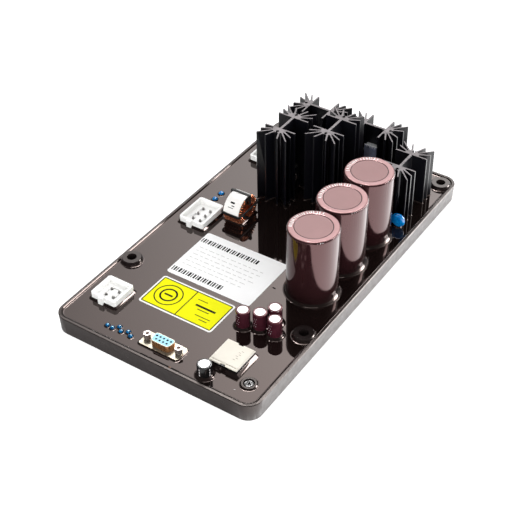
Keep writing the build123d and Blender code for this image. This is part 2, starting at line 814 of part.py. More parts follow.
def label(x, y, width, length):
    """Thin label on the resin."""
    return plate(x, y, width, length, LABEL_CORNER, RESIN_TOP, RESIN_TOP + LABEL)


def field_label():
    """Second label, in front of the data label."""
    data_front = spot(DATA_LABEL_PLACE)[1] - DATA_LABEL_LENGTH / 2
    y = data_front - LABEL_GAP - FIELD_LABEL_LENGTH / 2
    return label(FIELD_LABEL_ACROSS * TRAY_WIDTH, y, FIELD_LABEL_WIDTH, FIELD_LABEL_LENGTH)


# Assembly


def build():
    """All pieces by name."""
    nodes = {"circuit_board": circuit_board()}
    profile = sink_profile()
    for number, spec in enumerate(SINKS, start=1):
        nodes[f"heat_sink_{number}"] = heat_sink(spec, profile)
        nodes[f"power_device_{number}"] = power_device(spec)
    nodes["device_screws"] = [device_screw(spec) for spec in SINKS if spec[3] == "screw"]
    nodes["device_clip"] = [device_clip(spec) for spec in SINKS if spec[3] == "clip"]
    for number, (x, y) in enumerate(bulk_places(), start=1):
        form = (x, y, BULK_DIAMETER, BULK_TOP, BULK_SLEEVE, BULK_SHOULDER)
        nodes[f"bulk_capacitor_can_{number}"] = can(*form)
        nodes[f"bulk_capacitor_sleeve_{number}"] = shrink_sleeve(*form, BULK_LIP_HOLE)
        nodes[f"bulk_capacitor_disc_{number}"] = bulk_disc(x, y)
    for number, place in enumerate(SMALL_PLACES, start=1):
        nodes[f"small_capacitor_can_{number}"] = small_can(*spot(place), SMALL_TOP)
        nodes[f"small_capacitor_sleeve_{number}"] = small_sleeve(*spot(place), SMALL_TOP)
    nodes["black_capacitor_can"] = small_can(*spot(BLACK_PLACE), BLACK_TOP)
    nodes["black_capacitor_sleeve"] = small_sleeve(*spot(BLACK_PLACE), BLACK_TOP)
    nodes["serial_port_shell"] = port_shell()
    nodes["serial_port_insert"] = port_insert()
    nodes["serial_port_contacts"] = [port_contact(x, y) for x, y in contact_places()]
    nodes["serial_port_locks"] = [port_lock(x, y) for x, y in lock_places()]
    for name, y, rows in headers():
        nodes[f"header_{name}_housing"] = header_housing(y, rows)
        nodes[f"header_{name}_pins"] = header_pins(y, rows)
    nodes["choke_core"] = choke_core()
    nodes["choke_winding"] = choke_winding()
    nodes["choke_tape"] = choke_tape()
    nodes["choke_strap"] = choke_strap()
    nodes["module_body"] = module_body()
    nodes["module_cover"] = module_cover()
    nodes["bead_capacitors"] = [bead(*spot(place), BEAD, BEAD_TOP) for place in BEAD_ROW]
    nodes["button_capacitors"] = [bead(*spot(place), BUTTON, BUTTON_TOP) for place in BUTTON_PAIR]
    nodes["blue_disc"] = blue_disc()
    tray_body = tray()
    buried = []
    for shape in nodes.values():
        buried += shape if isinstance(shape, list) else [shape]
    nodes["potting"] = potting(tray_body, buried)
    nodes["tray"] = tray_body
    nodes["tray_screw"] = tray_screw()
    nodes["data_label"] = label(*spot(DATA_LABEL_PLACE), DATA_LABEL_WIDTH, DATA_LABEL_LENGTH)
    nodes["field_label"] = field_label()
    return nodes


def main():
    """Write one STEP file for each piece."""
    os.makedirs("parts", exist_ok=True)
    for name, shape in build().items():
        solids = shape if isinstance(shape, list) else [shape]
        export_step(Compound(children=solids), f"parts/{name}.step")


main()
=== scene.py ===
"""Looks of a potted voltage regulator: finishes, resin creep, windings, print and light."""

import json
import math
import random

import bmesh
import bpy
from mathutils import Matrix, Vector


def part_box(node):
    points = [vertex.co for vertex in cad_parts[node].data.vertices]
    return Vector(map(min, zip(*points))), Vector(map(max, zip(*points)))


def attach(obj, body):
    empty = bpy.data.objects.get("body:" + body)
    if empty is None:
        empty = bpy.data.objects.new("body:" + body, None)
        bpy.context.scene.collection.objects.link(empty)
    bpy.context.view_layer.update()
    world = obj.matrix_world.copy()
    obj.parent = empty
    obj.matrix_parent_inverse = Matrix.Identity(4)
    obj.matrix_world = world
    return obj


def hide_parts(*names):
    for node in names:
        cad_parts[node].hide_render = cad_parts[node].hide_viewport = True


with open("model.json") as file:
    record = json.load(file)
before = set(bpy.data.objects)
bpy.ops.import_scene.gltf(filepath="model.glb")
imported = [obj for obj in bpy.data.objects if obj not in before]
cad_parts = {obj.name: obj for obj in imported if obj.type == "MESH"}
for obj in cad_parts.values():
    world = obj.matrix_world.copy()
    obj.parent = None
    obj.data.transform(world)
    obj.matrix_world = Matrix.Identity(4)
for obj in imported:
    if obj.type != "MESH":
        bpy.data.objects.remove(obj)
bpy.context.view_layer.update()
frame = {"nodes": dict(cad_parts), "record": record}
NODES = frame["nodes"]
MM = 0.001

# Photograph's camera, in millimetres and degrees
CAMERA_PLACE = (344.4, -521.2, 517.4)
CAMERA_AZIMUTH = -34.34
CAMERA_ELEVATION = 39.59
CAMERA_ROLL = -1.013
FOCAL_PIXELS = 1132.76
FRAME_PIXELS = 512
SENSOR = 36.0

# Levels and places read from the frame
RESIN_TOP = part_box("potting")[1].z
SAME_PLACE = 0.001 * MM  # points nearer than this are one
SUNK = 0.25 * MM  # how far the crept resin reaches into the resin that carries it
ROUND = 6.28  # range of the random phases, in radians
BULK_SLEEVES = [f"bulk_capacitor_sleeve_{number}" for number in (1, 2, 3)]
SMALL_SLEEVES = [f"small_capacitor_sleeve_{number}" for number in (1, 2, 3, 4)]
BLACK_SLEEVE = "black_capacitor_sleeve"


def middle(name):
    """Centre of a node's box."""
    low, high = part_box(name)
    return (low + high) / 2


def half_size(name):
    """Half of a node's box along each axis."""
    low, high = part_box(name)
    return (high - low) / 2


def half_width(name):
    """Half of a node's box along X, the radius of a round one."""
    low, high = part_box(name)
    return (high.x - low.x) / 2


# Colours and materials


def srgb(red, green, blue):
    """Linear colour of an sRGB value from 0 to 255."""

    def lift(value):
        value /= 255
        return value / 12.92 if value <= 0.04045 else ((value + 0.055) / 1.055) ** 2.4

    return (lift(red), lift(green), lift(blue), 1.0)


def feed(tree, node, inputs):
    """Sets a node's inputs to values, or links them to other nodes' outputs."""
    for name, value in inputs.items():
        if isinstance(value, bpy.types.NodeSocket):
            tree.links.new(value, node.inputs[name])
        else:
            node.inputs[name].default_value = value


def add_node(tree, kind, inputs, **settings):
    """Outputs of a new node with those inputs and settings."""
    made = tree.nodes.new("ShaderNode" + kind)
    for name, value in settings.items():
        setattr(made, name, value)
    feed(tree, made, inputs)
    return made.outputs


def calc(tree, operation, *values):
    """Result of a maths node on numbers or outputs."""
    return add_node(tree, "Math", dict(enumerate(values)), operation=operation)["Value"]


def map_range(tree, value, limits, interpolation="LINEAR"):
    """Value mapped from the first two limits to the last two."""
    names = ("Value", "From Min", "From Max", "To Min", "To Max")
    inputs = dict(zip(names, (value, *limits)))
    return add_node(tree, "MapRange", inputs, interpolation_type=interpolation)["Result"]


def darkened(colour, amount):
    """Colour with that share of its light taken away."""
    return tuple(c * (1 - amount) for c in colour[:3]) + (1.0,)


class Shader:
    """Small helper that builds one node material on a Principled shader."""

    def __init__(self, name, colour, rough=0.4, metal=0.0, coat=0.0, ior=1.5, tint=None):
        self.name = name
        self.colour = colour
        self.rough = rough
        self.material = bpy.data.materials.new(name)
        self.material.use_nodes = True
        self.tree = self.material.node_tree
        self.bsdf = self.tree.nodes["Principled BSDF"]
        inputs = {"Base Color": colour, "Roughness": rough, "Metallic": metal, "IOR": ior}
        inputs |= {"Coat Weight": coat, "Coat Roughness": 0.05}
        if tint:
            inputs["Specular Tint"] = tint
        feed(self.tree, self.bsdf, inputs)
        self.place = self.node("TexCoord")["Object"]
        self.normal = None

    def node(self, kind, inputs=(), **settings):
        return add_node(self.tree, kind, dict(inputs), **settings)

    def link(self, output, name):
        """Feeds an input of the Principled shader."""
        self.tree.links.new(output, self.bsdf.inputs[name])
        return self

    def fed(self, name):
        """What feeds an input of the Principled shader now."""
        return self.bsdf.inputs[name].links[0].from_socket

    def noise(self, size_mm, detail=3.0, stretch=(1, 1, 1)):
        """Noise whose features are about that many millimetres wide."""
        scale = tuple(s / (size_mm * MM) for s in stretch)
        place = self.node("Mapping", {"Vector": self.place, "Scale": scale})["Vector"]
        return self.node("TexNoise", {"Vector": place, "Scale": 1.0, "Detail": detail})["Fac"]

    def ramp(self, value, low, high, start=0.0, end=1.0):
        """Value between two limits mapped to another range."""
        return map_range(self.tree, value, (low, high, start, end))

    def blend(self, factor, first, second):
        """Colour between two colours or colour outputs."""
        return self.node("Mix", {0: factor, 6: first, 7: second}, data_type="RGBA")[2]

    def bump(self, height, depth_mm):
        """Relief from a height, on top of the relief that is there."""
        inputs = {"Distance": depth_mm * MM, "Height": height}
        if self.normal is not None:
            inputs["Normal"] = self.normal
        return self.node("Bump", inputs)["Normal"]

    def drift(self, size_mm, colour, other):
        """Colour that drifts between two over that many millimetres."""
        factor = self.ramp(self.noise(size_mm), 0.35, 0.65)
        return self.blend(factor, colour, other)

    def mottle(self, size_mm, amount, other=None):
        """Base colour that drifts towards another colour, or a darker one of its own."""
        other = other or darkened(self.colour, amount)
        return self.link(self.drift(size_mm, self.colour, other), "Base Color")

    def vary_rough(self, size_mm, spread, stretch=(1, 1, 1)):
        """Roughness that drifts about its own value."""
        low = max(self.rough - spread / 2, 0.02)
        high = self.rough + spread / 2
        value = self.ramp(self.noise(size_mm, stretch=stretch), 0.3, 0.7, low, high)
        return self.link(value, "Roughness")

    def polished_inside(self, half_x_mm, half_y_mm, rough):
        """Another roughness within a rectangle about the frame's origin."""
        split = self.node("SeparateXYZ", {"Vector": self.place})
        shares = []
        for axis, half in (("X", half_x_mm), ("Y", half_y_mm)):
            distance = calc(self.tree, "ABSOLUTE", split[axis])
            shares.append(self.ramp(distance, half * MM - 0.1 * MM, half * MM))
        outside = calc(self.tree, "MAXIMUM", *shares)
        mixed = self.node("Mix", {"Factor": outside, "A": rough, "B": self.fed("Roughness")})
        return self.link(mixed["Result"], "Roughness")

    def grain(self, size_mm, depth_mm, detail=2.0, stretch=(1, 1, 1)):
        """Fine relief of that width and depth; a second call adds to the first."""
        self.normal = self.bump(self.noise(size_mm, detail, stretch), depth_mm)
        return self.link(self.normal, "Normal")

    def up_facing(self):
        """1 where the surface looks straight up, 0 on walls."""
        normal = self.node("NewGeometry")["Normal"]
        return self.ramp(self.node("SeparateXYZ", {"Vector": normal})["Z"], 0.75, 0.95)

    def painted_lit_top(self, colour, size_mm, amount):
        """Another drifting base colour where the surface looks up, painted light from above; it
        comes after mottle.
        """
        top = self.drift(size_mm, colour, darkened(colour, amount))
        return self.link(self.blend(self.up_facing(), self.fed("Base Color"), top), "Base Color")


def sink_material():
    """Black anodised extrusion with faint die lines, and bare sawn aluminium on its top end."""
    shader = Shader("sink_black", srgb(9, 9, 15), rough=0.34, ior=1.42)
    shader.vary_rough(6, 0.12, stretch=(1, 1, 0.05))
    tone = shader.ramp(shader.noise(1.6, stretch=(0.35, 1, 1)), 0.3, 0.7)
    tones = shader.blend(tone, srgb(68, 62, 64), srgb(106, 99, 101))
    saw = shader.bump(shader.noise(0.5, stretch=(0.1, 1, 1)), 0.03)
    bare = {"Base Color": tones, "Normal": saw, "Roughness": 0.5, "Metallic": 0.3, "IOR": 1.5}
    shader.grain(0.9, 0.02, stretch=(1, 1, 0.012))
    layers = {0: shader.up_facing(), 1: shader.bsdf.outputs["BSDF"]}
    layers[2] = shader.node("BsdfPrincipled", bare)["BSDF"]
    output = shader.tree.nodes["Material Output"]
    shader.tree.links.new(shader.node("MixShader", layers)["Shader"], output.inputs["Surface"])
    return shader


# Tints of highlights
WARM = (1.0, 0.86, 0.8, 1.0)
PINK = (1.0, 0.58, 0.58, 1.0)
RIM_INSIDE = (78.3, 138.8)  # half width and half length inside the tray's rim, in millimetres
# Every finish
FINISHES = [
    Shader("tray_plastic", srgb(34, 28, 28), rough=0.34, ior=1.4, tint=WARM).mottle(14, 0.25)
    .vary_rough(5, 0.14).polished_inside(*RIM_INSIDE, 0.12).grain(0.45, 0.012).grain(40, 0.05),
    Shader("resin", srgb(24, 17, 16), rough=0.03, ior=1.5, tint=(1.0, 0.79, 0.73, 1.0))
    .mottle(60, 0.25).vary_rough(25, 0.03).grain(55, 0.08, detail=1.0).grain(9, 0.003, detail=1.0),
    Shader("board_laminate", srgb(20, 80, 45), rough=0.4).mottle(20, 0.2).grain(0.6, 0.02),
    sink_material(),
    Shader("device_plastic", srgb(26, 26, 28), rough=0.5).mottle(3, 0.3).grain(0.2, 0.01),
    Shader("plain_steel", srgb(196, 184, 180), rough=0.22, metal=0.8).mottle(1.5, 0.25)
    .vary_rough(0.8, 0.15).grain(0.5, 0.008),
    Shader("black_steel", srgb(20, 18, 18), rough=0.1, metal=0.5, coat=0.4).mottle(1.2, 0.3)
    .grain(1.7, 0.35, detail=1.0),
    # Spring steel: its up-facing finger tops are painted near white, a painted highlight of their
    # glints.
    Shader("spring_steel", srgb(150, 156, 182), rough=0.36, metal=0.3).mottle(3, 0.25)
    .painted_lit_top(srgb(252, 253, 255), 2, 0.2).grain(0.3, 0.006, stretch=(1, 1, 0.1)),
    Shader("can_metal", srgb(246, 244, 244), rough=0.38, metal=0.3).mottle(3, 0.1)
    .vary_rough(2, 0.12).grain(0.7, 0.006),
    # Large sleeves: the up-facing film is painted pale pink over the dark brown, painted light from
    # above.
    Shader("brown_sleeve", srgb(40, 21, 23), rough=0.12, ior=1.5, tint=PINK).mottle(10, 0.15)
    .painted_lit_top(srgb(178, 135, 135), 12, 0.12).vary_rough(8, 0.08)
    .grain(14, 0.05, detail=1.0, stretch=(1, 1, 0.3)),
    Shader("brown_disc", srgb(149, 110, 109), rough=0.4, ior=1.35, tint=(1.0, 0.8, 0.8, 1.0))
    .mottle(12, 0.06).vary_rough(5, 0.1).grain(0.4, 0.004),
    Shader("maroon_sleeve", srgb(66, 28, 38), rough=0.16, tint=PINK).mottle(5, 0.3)
    .grain(3, 0.02, detail=1.0),
    Shader("black_sleeve", srgb(18, 17, 18), rough=0.14).mottle(5, 0.3)
    .grain(2.5, 0.03, detail=1.0),
    # Port plating: painted light, with up-facing faces paler and greyer and the sides golden, as
    # light from above and reflections fall.
    Shader("port_plating", srgb(176, 126, 84), rough=0.28, metal=0.75).mottle(1.5, 0.15)
    .painted_lit_top(srgb(150, 144, 130), 3, 0.25).vary_rough(2, 0.12).grain(1.2, 0.008),
    Shader("port_blue", srgb(132, 212, 240), rough=0.35).mottle(4, 0.12).grain(0.3, 0.006),
    Shader("contact_metal", srgb(30, 36, 42), rough=0.4, metal=0.6).mottle(0.6, 0.3),
    Shader("nylon_white", srgb(252, 252, 250), rough=0.42).mottle(6, 0.03).vary_rough(3, 0.1)
    .grain(0.35, 0.008),
    Shader("tinned", srgb(150, 148, 146), rough=0.35, metal=0.7).mottle(0.8, 0.25),
    Shader("ferrite", srgb(38, 38, 40), rough=0.55).mottle(2, 0.3).grain(0.3, 0.02),
    Shader("copper", srgb(228, 150, 112), rough=0.2, metal=0.85, coat=0.5)
    .mottle(2.2, 0.35, srgb(168, 84, 50)).vary_rough(1.0, 0.15),
    Shader("tape_white", srgb(248, 246, 243), rough=0.3).mottle(4, 0.05).grain(1.6, 0.08),
    Shader("strap_black", srgb(20, 20, 21), rough=0.5, ior=1.35).mottle(2, 0.3).grain(0.3, 0.01),
    Shader("module_black", srgb(16, 14, 14), rough=0.2).mottle(5, 0.25).grain(0.3, 0.01),
    Shader("cover_cream", srgb(236, 230, 216), rough=0.42, ior=1.3).mottle(7, 0.04)
    .vary_rough(4, 0.1).grain(0.4, 0.01),
    Shader("bead_blue", srgb(8, 116, 176), rough=0.08, coat=0.8, tint=(0.4, 0.9, 1.0, 1.0))
    .mottle(1.2, 0.3, srgb(0, 30, 66)).grain(1.2, 0.05, detail=1.0),
    Shader("dip_blue", srgb(2, 146, 222), rough=0.1, coat=0.6).mottle(1.6, 0.3, srgb(0, 104, 186))
    .grain(1.2, 0.03, detail=1.0),
    Shader("label_white", srgb(250, 250, 250), rough=0.45, ior=1.3).mottle(8, 0.02)
    .vary_rough(6, 0.1).grain(0.25, 0.006).grain(30, 0.04),
    Shader("ink_yellow", srgb(252, 251, 1), rough=0.5, ior=1.1).mottle(8, 0.03).grain(0.25, 0.004),
    # Pale for print and a speck, and for the painted highlight stripes on the black sleeve.
    Shader("pale_print_and_highlight", srgb(214, 208, 208), rough=0.4, ior=1.3).mottle(1, 0.2).grain(0.2, 0.004),
    Shader("ink_black", srgb(16, 16, 16), rough=0.5, ior=1.1).mottle(1, 0.4).grain(0.2, 0.004),
    Shader("ink_grey", srgb(190, 190, 188), rough=0.5, ior=1.2).mottle(1, 0.15).grain(0.2, 0.004),
    Shader("ink_brown", srgb(150, 138, 118), rough=0.5, ior=1.2).mottle(1, 0.15).grain(0.2, 0.004),
    # Black for a real stain, and for painted shade in the port's contact holes and along the front
    # rim.
    Shader("black_stain_and_shade", srgb(12, 9, 9), rough=0.5, ior=1.15).mottle(3, 0.4).grain(0.6, 0.02),
]
MATERIALS = {finish.name: finish.material for finish in FINISHES}
SLOT_OF = {entry["node"]: entry["material_slot"] for entry in frame["record"]["subparts"]}
# Nodes whose finish isn't that of their slot
OTHER_FINISH = {"tray_screw": "black_steel", "field_label": "label_white"}
# Widths of the softened edges on nodes whose solids have sharp ones, in millimetres
SOFT_EDGES = {
    "nylon_white": 0.3, "cover_cream": 0.15, "module_black": 0.3, "sink_black": 0.12,
    "port_plating": 0.1, "plain_steel": 0.12, "spring_steel": 0.15, "strap_black": 0.3,
    "tray_plastic": 0.25, "device_plastic": 0.3,
}


def dress_frame():
    """Gives every carried-over node its finish and soft edges."""
    for name, node in NODES.items():
        slot = SLOT_OF[name]
        node.data.materials.clear()
        node.data.materials.append(MATERIALS[OTHER_FINISH.get(name, slot)])
        if slot in SOFT_EDGES:
            soften(node, SOFT_EDGES[slot] * MM)


def soften(piece, width):
    """Small rounded edges, with flat faces kept flat."""
    weld = piece.modifiers.new("weld", "WELD")
    weld.merge_threshold = SAME_PLACE
    bevel = piece.modifiers.new("soft_edges", "BEVEL")
    bevel.width = width
    bevel.segments = 2
    bevel.limit_method = "ANGLE"
    bevel.angle_limit = math.radians(35)
    bevel.use_clamp_overlap = True
    bevel.harden_normals = True


# Mesh helpers


class Skin:
    """Points and faces of closed shapes, gathered for one piece."""

    def __init__(self):
        self.points = []
        self.faces = []

    def rings(self, rings, loop=False):
        """Skin over rings of equal count, with flat ends or joined into a loop."""
        first = len(self.points)
        count = len(rings[0])
        for ring in rings:
            self.points.extend(ring)
        spans = len(rings) if loop else len(rings) - 1
        for index in range(spans):
            a = first + index * count
            b = first + (index + 1) % len(rings) * count
            for step in range(count):
                after = (step + 1) % count
                self.faces.append((a + step, a + after, b + after, b + step))
        if not loop:
            self.faces.append(tuple(first + step for step in reversed(range(count))))
            last = first + (len(rings) - 1) * count
            self.faces.append(tuple(last + step for step in range(count)))

    def slab(self, ring, low, high):
        """Ring in plan raised from one height to another."""
        self.rings([at_height(ring, low), at_height(ring, high)])

    def piece(self, name, finish, slot, smooth=True):
        """Object on the root body with a finish, its faces turned outwards."""
        mesh = bpy.data.meshes.new(name)
        mesh.from_pydata([tuple(p) for p in self.points], [], self.faces)
        mesh.validate()
        edit = bmesh.new()
        edit.from_mesh(mesh)
        bmesh.ops.recalc_face_normals(edit, faces=edit.faces)
        edit.to_mesh(mesh)
        edit.free()
        piece = bpy.data.objects.new(name, mesh)
        bpy.context.scene.collection.objects.link(piece)
        mesh.materials.append(MATERIALS[finish])
        for polygon in mesh.polygons:
            polygon.use_smooth = smooth
        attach(piece, "root")
        return piece


def circle(centre, radius, count=72):
    """Points round a circle in plan."""
    turn = 2 * math.pi / count
    ring = []
    for step in range(count):
        x = centre[0] + radius * math.cos(turn * step)
        y = centre[1] + radius * math.sin(turn * step)
        ring.append(Vector((x, y, 0)))
    return ring


def rounded(centre, half_x, half_y, radius, per_corner=6):
    """Points round a rectangle with round corners in plan."""
    ring = []
    for corner, (sx, sy) in enumerate(((1, 1), (-1, 1), (-1, -1), (1, -1))):
        for step in range(per_corner + 1):
            around = math.radians(90 * (corner + step / per_corner))
            x = centre[0] + sx * (half_x - radius) + radius * math.cos(around)
            y = centre[1] + sy * (half_y - radius) + radius * math.sin(around)
            ring.append(Vector((x, y, 0)))
    return ring


def at_height(ring, height):
    return [Vector((p.x, p.y, height)) for p in ring]


def revolved(centre, profile, count=96, ripple=None):
    """Closed rings of a profile of radius and height, turned round an upright axis."""
    rings = []
    for radius, height in profile:
        ring = at_height(circle(centre, radius, count), height)
        if ripple:
            ring = [ripple(p, centre) for p in ring]
        rings.append(ring)
    return rings


def scaled(point, centre, scale, height):
    """Point moved to or from an upright axis, at a height."""
    x = centre[0] + (point.x - centre[0]) * scale
    y = centre[1] + (point.y - centre[1]) * scale
    return Vector((x, y, height))


def arc(radius, centre_r, centre_z, start, end, steps):
    """Points of radius and height along an arc, in degrees from outward level."""
    points = []
    for step in range(steps + 1):
        angle = math.radians(start + (end - start) * step / steps)
        points.append((centre_r + radius * math.cos(angle), centre_z + radius * math.sin(angle)))
    return points


# Resin that creeps up whatever stands in it

CREEP_STEPS = 9
CREEP_CURVE = 2.4  # how quickly the creep falls away from what it climbs
CREEP_SLOPE = 1.25  # the same where it is nearly a straight slope
CREEP_INSIDE = -0.1 * MM  # where its inner wall stands, within what it climbs
# Height and reach of the creep at each kind of foot, in millimetres
CREEPS = {
    "bulk": (1.6, 2.3), "small": (1.7, 2.1), "post": (0.8, 1.6), "screw": (0.8, 1.3),
    "header": (1.5, 1.6), "module": (1.9, 2.0), "port": (0.75, 1.3), "choke": (1.1, 1.6),
    "disc": (0.8, 1.3), "drop": (0.6, 0.9), "sink": (0.8, 0.7), "wall": (0.95, 1.6),
}
# Posts of the tray: distances from its edges and radius of the collar, in millimetres
POST_FROM_SIDE = 9.5
POST_FROM_FRONT = 73.25
POST_FROM_BACK = 12.75
POST_RADIUS = 7.15
SCREW_COLLAR = 4.95
LATCH = 1.7  # how far a header's latch stands out at its front
# Round corners of feet, in millimetres
HEADER_CORNER = 1.0
WALL_CORNER = 8.2
# Feet of the size of their nodes: kind, corner in millimetres, and curve of the creep
BLOCKS = (
    ("module_body", "module", 0.4, CREEP_SLOPE),
    ("serial_port_shell", "port", 1.8, CREEP_CURVE),
)
# Other feet: kind, half width, half length and corner in millimetres
FEET = (("choke_core", "choke", 7.5, 9.6, 1.2), ("blue_disc", "disc", 2.6, 1.4, 1.2))


def creep(skin, outline, kind, curve=CREEP_CURVE):
    """Concave skirt of resin round an outline given as a function of its offset."""
    height, reach = (value * MM for value in CREEPS[kind])
    inside = CREEP_INSIDE
    low = RESIN_TOP - SUNK
    rings = [at_height(outline(inside), low), at_height(outline(inside), RESIN_TOP + height)]
    for step in range(CREEP_STEPS + 1):
        share = step / CREEP_STEPS
        level = RESIN_TOP + height * (1 - share) ** curve
        rings.append(at_height(outline(share * reach), level))
    rings.append(at_height(outline(reach), low))
    skin.rings(rings, loop=True)


def creep_round(skin, centre, radius, kind):
    creep(skin, lambda out: circle(centre, radius + out), kind)


def creep_box(skin, centre, half_x, half_y, corner, kind, curve=CREEP_CURVE):
    creep(
        skin, lambda out: rounded(centre, half_x + out, half_y + out, corner + out), kind, curve
    )


def loop_area(loop):
    """Area inside a closed loop in plan, positive when it runs counterclockwise."""
    pairs = zip(loop, loop[1:] + loop[:1])
    return sum(a.x * b.y - b.x * a.y for a, b in pairs) / 2


def top_outline(node):
    """Plan of a node's flat top, as its largest loop of points."""
    mesh = node.data
    top = max(v.co.z for v in mesh.vertices)
    grid = SAME_PLACE
    sides = set()
    for polygon in mesh.polygons:
        spots = [mesh.vertices[i].co for i in polygon.vertices]
        if polygon.normal.z < 0.99 or any(top - p.z > 0.01 * MM for p in spots):
            continue
        corners = [(round(p.x / grid), round(p.y / grid)) for p in spots]
        for first, second in zip(corners, corners[1:] + corners[:1]):
            if (second, first) in sides:
                sides.remove((second, first))
            else:
                sides.add((first, second))
    after = dict(sorted(sides))
    loops = []
    while after:
        start, spot = after.popitem()
        loop = [start]
        while spot != start:
            loop.append(spot)
            spot = after.pop(spot)
        loops.append([Vector((x * grid, y * grid, 0)) for x, y in loop])
    return max(loops, key=loop_area)


def pushed_out(loop, distance):
    """Loop moved outwards along its corners' normals, with long corners cut short."""
    moved = []
    count = len(loop)
    for index, point in enumerate(loop):
        before = (point - loop[index - 1]).normalized()
        after = (loop[(index + 1) % count] - point).normalized()
        normal = Vector((before.y + after.y, -before.x - after.x, 0))
        if normal.length < 0.2:
            normal = Vector((before.y, -before.x, 0))
        normal.normalize()
        facing = max(normal.dot(Vector((before.y, -before.x, 0))), 0.6)
        moved.append(point + normal * (distance / facing))
    return moved


def creep_capacitors(skin):
    """Skirts round the capacitors."""
    for name in BULK_SLEEVES:
        creep_round(skin, middle(name), half_width(name), "bulk")
    for name in (*SMALL_SLEEVES, BLACK_SLEEVE):
        creep_round(skin, middle(name), half_width(name), "small")


def creep_posts(skin):
    """Skirts round the mounting posts and the screw's collar."""
    tray_low, tray_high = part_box("tray")
    post_x = tray_high.x - POST_FROM_SIDE * MM
    for x in (-post_x, post_x):
        for y in (tray_low.y + POST_FROM_FRONT * MM, tray_high.y - POST_FROM_BACK * MM):
            creep_round(skin, (x, y), POST_RADIUS * MM, "post")
    creep_round(skin, middle("tray_screw"), SCREW_COLLAR * MM, "screw")


def creep_blocks(skin):
    """Skirts round the headers, the module, the port, the choke and the blue disc."""
    latch = LATCH * MM
    for name in ("4way", "6way", "rear"):
        low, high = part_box(f"header_{name}_housing")
        centre = ((low.x + high.x) / 2, (low.y + latch + high.y) / 2)
        half_y = (high.y - low.y - latch) / 2
        half_x = (high.x - low.x) / 2
        creep_box(skin, centre, half_x, half_y, HEADER_CORNER * MM, "header", CREEP_SLOPE)
    for name, kind, corner, curve in BLOCKS:
        half = half_size(name)
        creep_box(skin, middle(name), half.x, half.y, corner * MM, kind, curve)
    for name, kind, *foot in FEET:
        creep_box(skin, middle(name), *(value * MM for value in foot), kind)


def make_creep():
    """Skirts of resin round every foot, post and wall."""
    skin = Skin()
    creep_capacitors(skin)
    creep_posts(skin)
    creep_blocks(skin)
    for centre, radius in loose_parts("bead_capacitors") + loose_parts("button_capacitors"):
        creep_round(skin, centre, radius * 0.97, "drop")
    for number in range(1, 6):
        loop = top_outline(NODES[f"heat_sink_{number}"])
        creep(skin, lambda out: pushed_out(loop, out), "sink")
    half = half_size("potting")
    corner = WALL_CORNER * MM
    creep(skin, lambda out: rounded((0, 0), half.x - out, half.y - out, corner - out, 10), "wall")
    skin.piece("resin_creep", "resin", "resin")


def loose_parts(name):
    """Top centre and radius of each round solid in a node."""
    mesh = NODES[name].data
    groups = list(range(len(mesh.vertices)))

    def find(index):
        while groups[index] != index:
            groups[index] = groups[groups[index]]
            index = groups[index]
        return index

    same = {}
    for vertex in mesh.vertices:
        spot = tuple(round(c / SAME_PLACE) for c in vertex.co)
        if spot in same:
            groups[find(vertex.index)] = find(same[spot])
        same[spot] = vertex.index
    for edge in mesh.edges:
        groups[find(edge.vertices[0])] = find(edge.vertices[1])
    bodies = {}
    for vertex in mesh.vertices:
        bodies.setdefault(find(vertex.index), []).append(vertex.co)
    parts = []
    for points in bodies.values():
        low = [min(p[axis] for p in points) for axis in range(3)]
        high = [max(p[axis] for p in points) for axis in range(3)]
        centre = Vector(((low[0] + high[0]) / 2, (low[1] + high[1]) / 2, high[2]))
        parts.append((centre, (high[0] - low[0]) / 2))
    return sorted(parts, key=lambda part: tuple(part[0]))


# Capacitors

# Sleeves: radius of the shoulder and of the lip's opening, thickness of the film and
# depth of the pleats in metres, fewest and most pleats, and steps round the sleeve
LARGE_SLEEVE = (1.5 * MM, 12.95 * MM, 0.4 * MM, 0.6 * MM, (28, 46), 300)
SMALL_SLEEVE = (0.7 * MM, 3.4 * MM, 0.25 * MM, 0.4 * MM, (12, 20), 150)
# Black rings of painted shade over the gap round each large capacitor's disc
SHADE_RING_INSIDE = 0.05 * MM
SHADE_RING_WIDTH = 0.4 * MM
SHADE_RING_TOP = 0.1 * MM


def sleeve_profile(radius, foot, top, shoulder, lip, film):
    """Section of a shrunk sleeve: up the outside, over the shoulder, and back inside."""
    tall = top - foot
    outside = [(radius, foot), (radius, foot + tall * 0.3), (radius - 0.04 * MM, foot + tall * 0.6)]
    outside += [(radius, top - 2.2 * shoulder), (radius, top - 1.4 * shoulder)]
    outside += arc(shoulder, radius - shoulder, top - shoulder, 0, 90, 10)
    flat = radius - shoulder - lip
    dip = 0.06 * MM
    inward = [(radius - shoulder - flat * s, top - dip * s) for s in (0.25, 0.5, 0.75)]
    curl = [(lip + 0.25 * MM, top - dip), (lip + 0.08 * MM, top - 0.16 * MM), (lip, top - film)]
    under = top - film - 0.02 * MM
    back = [(lip + 0.3 * MM, under), (radius - shoulder, under)]
    back += arc(shoulder - film, radius - shoulder, top - shoulder, 80, 0, 4)
    return outside + inward + curl + back + [(radius - film, foot)]


